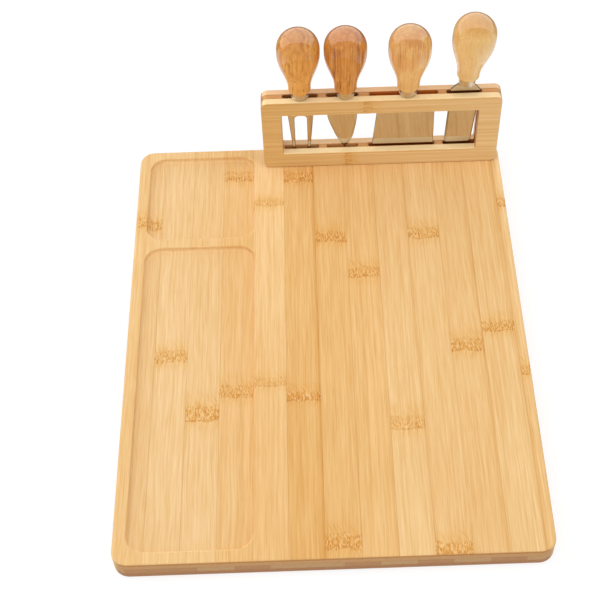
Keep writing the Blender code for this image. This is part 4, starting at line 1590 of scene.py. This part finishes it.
@dataclass
class Knife:
    """One knife: a turned handle, a ferrule and a blade whose tang reaches into the handle."""

    name: str
    blade: Blade
    wood: HandleFinish
    rise: float = 0.0

    handle_length: float = 0.0504
    handle_radius: float = 0.0145
    neck_radius: float = 0.0078
    base_round: float = 0.0019
    dome: float = 0.0147
    dome_power: float = 2.2
    belly: float = 0.0031
    spigot_radius: float = 0.0050
    ferrule_radius: float = 0.0059
    ferrule_wall: float = 0.0006
    ferrule_floor: float = 0.0008
    ferrule_height: float = 0.0055
    ferrule_round: float = 0.00035
    bead: float = 0.0011
    bead_groove: float = 0.00022
    glue: float = 0.0002
    dome_steps: int = 24
    flank_steps: int = 20
    base_steps: int = 8

    def __post_init__(self) -> None:
        """Take the knife's place and lean from its joint, and lay the wood's pattern there."""
        joint = next(j for j in frame["joints"] if j["child"] == self.name)
        axis = Vector(joint["axis"]).normalized()
        self.lean = math.atan2(axis.x, axis.z)
        self.foot = Vector(joint["pos_m"]) + axis * self.rise
        self.wood = replace(self.wood, foot=tuple(self.foot), lean=self.lean)

    def handle_profile(self) -> list[Point]:
        """Give the pear's half outline from its dome to the end of its spigot."""
        base = self.ferrule_height + self.glue
        top = base + self.handle_length
        widest = top - self.dome
        made = [(0.0, top)]
        for i in range(1, self.dome_steps + 1):
            angle = math.pi / 2 * (1 - i / self.dome_steps)
            made.append((self.handle_radius * math.cos(angle) ** (2 / self.dome_power),
                         widest + self.dome * math.sin(angle) ** (2 / self.dome_power)))
        waist = base + self.base_round
        made.append((self.handle_radius, widest - self.belly))
        for i in range(1, self.flank_steps + 1):
            share = 1 - i / self.flank_steps
            swell = (1 - math.cos(math.pi * share)) / 2
            made.append((self.neck_radius + (self.handle_radius - self.neck_radius) * swell,
                         waist + (widest - self.belly - waist) * share))
        for i in range(1, self.base_steps + 1):
            angle = math.pi / (2 * self.base_steps) * i
            made.append((self.neck_radius - self.base_round * (1 - math.cos(angle)),
                         waist - self.base_round * math.sin(angle)))
        end = self.ferrule_floor + self.blade.seat
        return made + [(self.spigot_radius, base), (self.spigot_radius, end), (0.0, end)]

    def ferrule_profile(self) -> list[Point]:
        """Give the half outline of an open cup with eased edges."""
        ease, radius, height = self.ferrule_round, self.ferrule_radius, self.ferrule_height
        bore = radius - self.ferrule_wall
        lip = arc((radius - ease, height - ease), ease, 1, 0, 4)
        foot = arc((radius - ease, ease), ease, 0, -1, 4)
        groove = arc((radius, self.bead + self.bead_groove), self.bead_groove, 1, 3, 6)
        return [(0.0, self.ferrule_floor), (bore, self.ferrule_floor), (bore, height), *lip, *groove, *foot,
                (0.0, 0.0)]

    def tang_hole(self) -> Mesh:
        """Make the cutter of the tang's hole."""
        seat, blade = self.blade.seat, self.blade
        half_width, half_depth = blade.tang_width / 2 + seat, blade.thickness / 2 + seat
        levels = [(0.0, -OVERRUN), (0.0, blade.tang_length + seat)]
        return Block((-half_width, -half_depth), (half_width, half_depth), levels).mesh("tang_hole")

    def placed(self, mesh: Mesh) -> Mesh:
        """Move a mesh from the knife's own frame to its place in the holder."""
        mesh.transform(Matrix.Translation(self.foot) @ Matrix.Rotation(self.lean, 4, "Y"))
        return mesh

    def build(self) -> None:
        """Make and install the knife's three pieces."""
        blade_steel = SteelFinish("polished_blade", srgb(214, 208, 199), 0.5)
        ferrule_steel = SteelFinish("satin_ferrule", srgb(214, 202, 182), 0.4, 0.26)
        handle = carved(turned(f"{self.name}_handle", self.handle_profile(), self.wood), [self.tang_hole()])
        ferrule = carved(turned(f"{self.name}_ferrule", self.ferrule_profile(), ferrule_steel, 72),
                         [self.tang_hole()])
        blade = self.blade.mesh(f"{self.name}_blade")
        pieces = (("handle", handle, self.wood, f"{self.name}_handle_wood", SHARP),
                  ("ferrule", ferrule, ferrule_steel, "ferrule_steel", SHARP),
                  ("blade", blade, blade_steel, "blade_steel", BLADE_SHARP))
        for kind, mesh, finish, slot, sharp in pieces:
            install(smoothed(self.placed(mesh), sharp), finish, self.name, slot, f"{self.name}_{kind}")


def knives() -> list[Knife]:
    """List the four knives, from left to right."""
    fork = HandleFinish(
        "fork_lacquered_wood", body=srgb(233, 171, 87), deep=srgb(203, 132, 60), pore=srgb(168, 102, 48),
        cap=(0.83, 0.77, 0.84), figure=1.4, pores=0.75, lines=0.18, line_rate=90.0, seed=0.4)
    spade = HandleFinish(
        "spade_lacquered_wood", body=srgb(221, 155, 77), deep=srgb(194, 119, 53), pore=srgb(132, 66, 28),
        cap=(0.95, 0.90, 0.86), figure=1.0, pores=0.2, lines=0.75, line_rate=14.0, seed=1.9)
    cleaver = HandleFinish(
        "cleaver_lacquered_wood", body=srgb(236, 191, 121), deep=srgb(221, 159, 93), pore=srgb(180, 110, 56),
        cap=(0.86, 0.80, 0.74), figure=2.2, pores=0.1, lines=0.5, line_rate=16.0, seed=3.1)
    chisel = HandleFinish(
        "chisel_lacquered_wood", body=srgb(236, 198, 134), deep=srgb(226, 180, 113), pore=srgb(190, 127, 66),
        cap=(0.84, 0.70, 0.54), figure=0.8, pores=0.3, lines=0.12, line_rate=60.0, seed=5.2)
    return [Knife("fork", ForkBlade(), fork), Knife("spade", SpadeBlade(), spade),
            Knife("cleaver", CleaverBlade(), cleaver), Knife("chisel", ChiselBlade(), chisel, rise=0.0080)]


@dataclass
class Studio:
    """A white table, a large softbox overhead, a second one at the back left and the camera."""

    floor_size: float = 8.0
    floor_drop: float = 0.0003
    floor_bottom: float = -0.02
    image: float = 612.0
    focal: float = 1297.3
    centre_x: float = 328.5
    sensor: float = 36.0
    eye: tuple[float, float, float] = (-0.00535, -0.50218, 0.70083)
    turn: tuple[float, float, float] = (37.2166, 0.7265, -1.7948)
    bright_side: tuple[float, float, float] = (0.0, 0.990, 0.140)

    def build(self) -> None:
        """Set up everything round the object."""
        self.floor()
        self.lamp("overhead", (-0.60, -0.10, 1.45), (4.0, 0.75), 1.72, (-0.60, -0.10, 0.0))
        self.lamp("back_left", (-1.10, 1.15, 1.05), (1.2, 1.0), 1.0, (0.0, 0.0, 0.0))
        self.world()
        self.camera()
        bpy.context.scene.view_settings.view_transform = "Standard"

    def floor(self) -> None:
        """Lay the white table, which keeps the object's shadow."""
        half = self.floor_size / 2
        levels = [(0.0, self.floor_bottom), (0.0, -self.floor_drop)]
        mesh = Block((-half, -half), (half, half), levels).mesh("table_top")
        material = bpy.data.materials.new("white_table")
        material.use_nodes = True
        graph = Graph(material.node_tree)
        shader = material.node_tree.nodes["Principled BSDF"]
        path = graph.node("ShaderNodeLightPath").outputs
        place = graph.coordinate("Object")
        y = graph.split(place)[1]
        behind = graph.remap(y, 0.23, 0.31, 1.0, 0.2)
        mirrored = graph.math("MINIMUM", graph.remap(y, -0.05, 0.02, 0.6, 1.0), behind)
        level = graph.node("ShaderNodeMix", path["Is Glossy Ray"], None, 1.0, mirrored).outputs[0]
        seen = graph.math("MAXIMUM", path["Is Camera Ray"], path["Is Glossy Ray"])
        paper = graph.mix(level, (0.0, 0.0, 0.0), (0.28, 0.28, 0.28))
        graph.put(shader.inputs["Base Color"], graph.mix(seen, (0.80, 0.80, 0.79), paper))
        graph.put(shader.inputs["Emission Color"], (1.0, 1.0, 1.0))
        glow = graph.remap(graph.vector("LENGTH", place, output=1), 0.6, 2.0, 0.76, 1.0)
        graph.put(shader.inputs["Emission Strength"],
                  graph.times(seen, level, glow))
        shader.inputs["Roughness"].default_value = 0.9
        shader.inputs["Specular IOR Level"].default_value = 0.0
        mesh.materials.append(material)
        bench_object(mesh)

    def lamp(self, name: str, place: tuple[float, float, float], size: Point, radiance: float,
             target: tuple[float, float, float]) -> None:
        """Hang a softbox, which gloss doesn't mirror: the room's own bright side does that.

        Args:
            name: the lamp's name.
            place: where its middle is.
            size: its width and depth.
            radiance: how bright its face is, where white paper in full light is 1.
            target: the point that it faces.
        """
        data = bpy.data.lights.new(name, "AREA")
        data.shape = "RECTANGLE"
        data.size, data.size_y = size
        data.energy = radiance * math.pi * size[0] * size[1]
        made = bpy.data.objects.new(name, data)
        made.location = place
        made.rotation_euler = (Vector(target) - Vector(place)).to_track_quat("-Z", "Y").to_euler()
        made.visible_glossy = False
        bpy.context.scene.collection.objects.link(made)

    def world(self) -> None:
        """Make the room pale in front for soft light, bright behind and above for gloss, white to the eye."""
        world = bpy.data.worlds.new("studio_room")
        bpy.context.scene.world = world
        world.use_nodes = True
        graph = Graph(world.node_tree)
        background = world.node_tree.nodes["Background"]
        way = graph.vector("NORMALIZE", graph.coordinate("Generated"))
        x, y, z = graph.split(way)
        low = graph.remap(z, 0.15, 0.50, 1.0, 0.0)
        front = graph.times(low, graph.remap(y, 0.0, -0.5, 0.9, 1.25))
        corner = graph.minus(y, x)
        back = graph.times(low, graph.remap(corner, 0.7, 1.3, 0.0, 2.2))
        sides = graph.math("MAXIMUM", front, back)
        soft = graph.math("MAXIMUM", sides, graph.remap(y, -0.20, 0.25, 0.78, 0.34))
        lift = graph.vector("DOT_PRODUCT", way, self.bright_side, output=1)
        bright = graph.times(graph.remap(lift, -0.05, 0.0), graph.remap(z, 0.2, 1.0, 0.75, 1.0))
        mirrored = graph.scaled(bright, 2.2, 0.6)
        path = graph.node("ShaderNodeLightPath").outputs
        room = graph.node("ShaderNodeMix", path["Is Glossy Ray"], None, soft, mirrored).outputs[0]
        graph.put(background.inputs["Strength"], graph.math("MAXIMUM", path["Is Camera Ray"], room))
        graph.put(background.inputs["Color"], (1.0, 1.0, 1.0))

    def camera(self) -> None:
        """Set the camera at the photograph's viewing angle."""
        data = bpy.data.cameras.new("camera")
        data.sensor_width = self.sensor
        data.lens = self.focal / self.image * self.sensor
        data.shift_x = (self.image / 2 - self.centre_x) / self.image
        data.clip_start = 0.01
        made = bpy.data.objects.new("camera", data)
        made.location = self.eye
        made.rotation_euler = [math.radians(angle) for angle in self.turn]
        bpy.context.scene.collection.objects.link(made)
        bpy.context.scene.camera = made


def main() -> None:
    """Build the board, the holder, the screws, the knives and the studio."""
    logging.basicConfig(level=logging.INFO, format="%(name)s: %(message)s")
    screws = Screws()
    Board().build(screws)
    Holder().build(screws)
    screws.build()
    for knife in knives():
        knife.build()
    Studio().build()


if __name__ == "__main__":
    main()
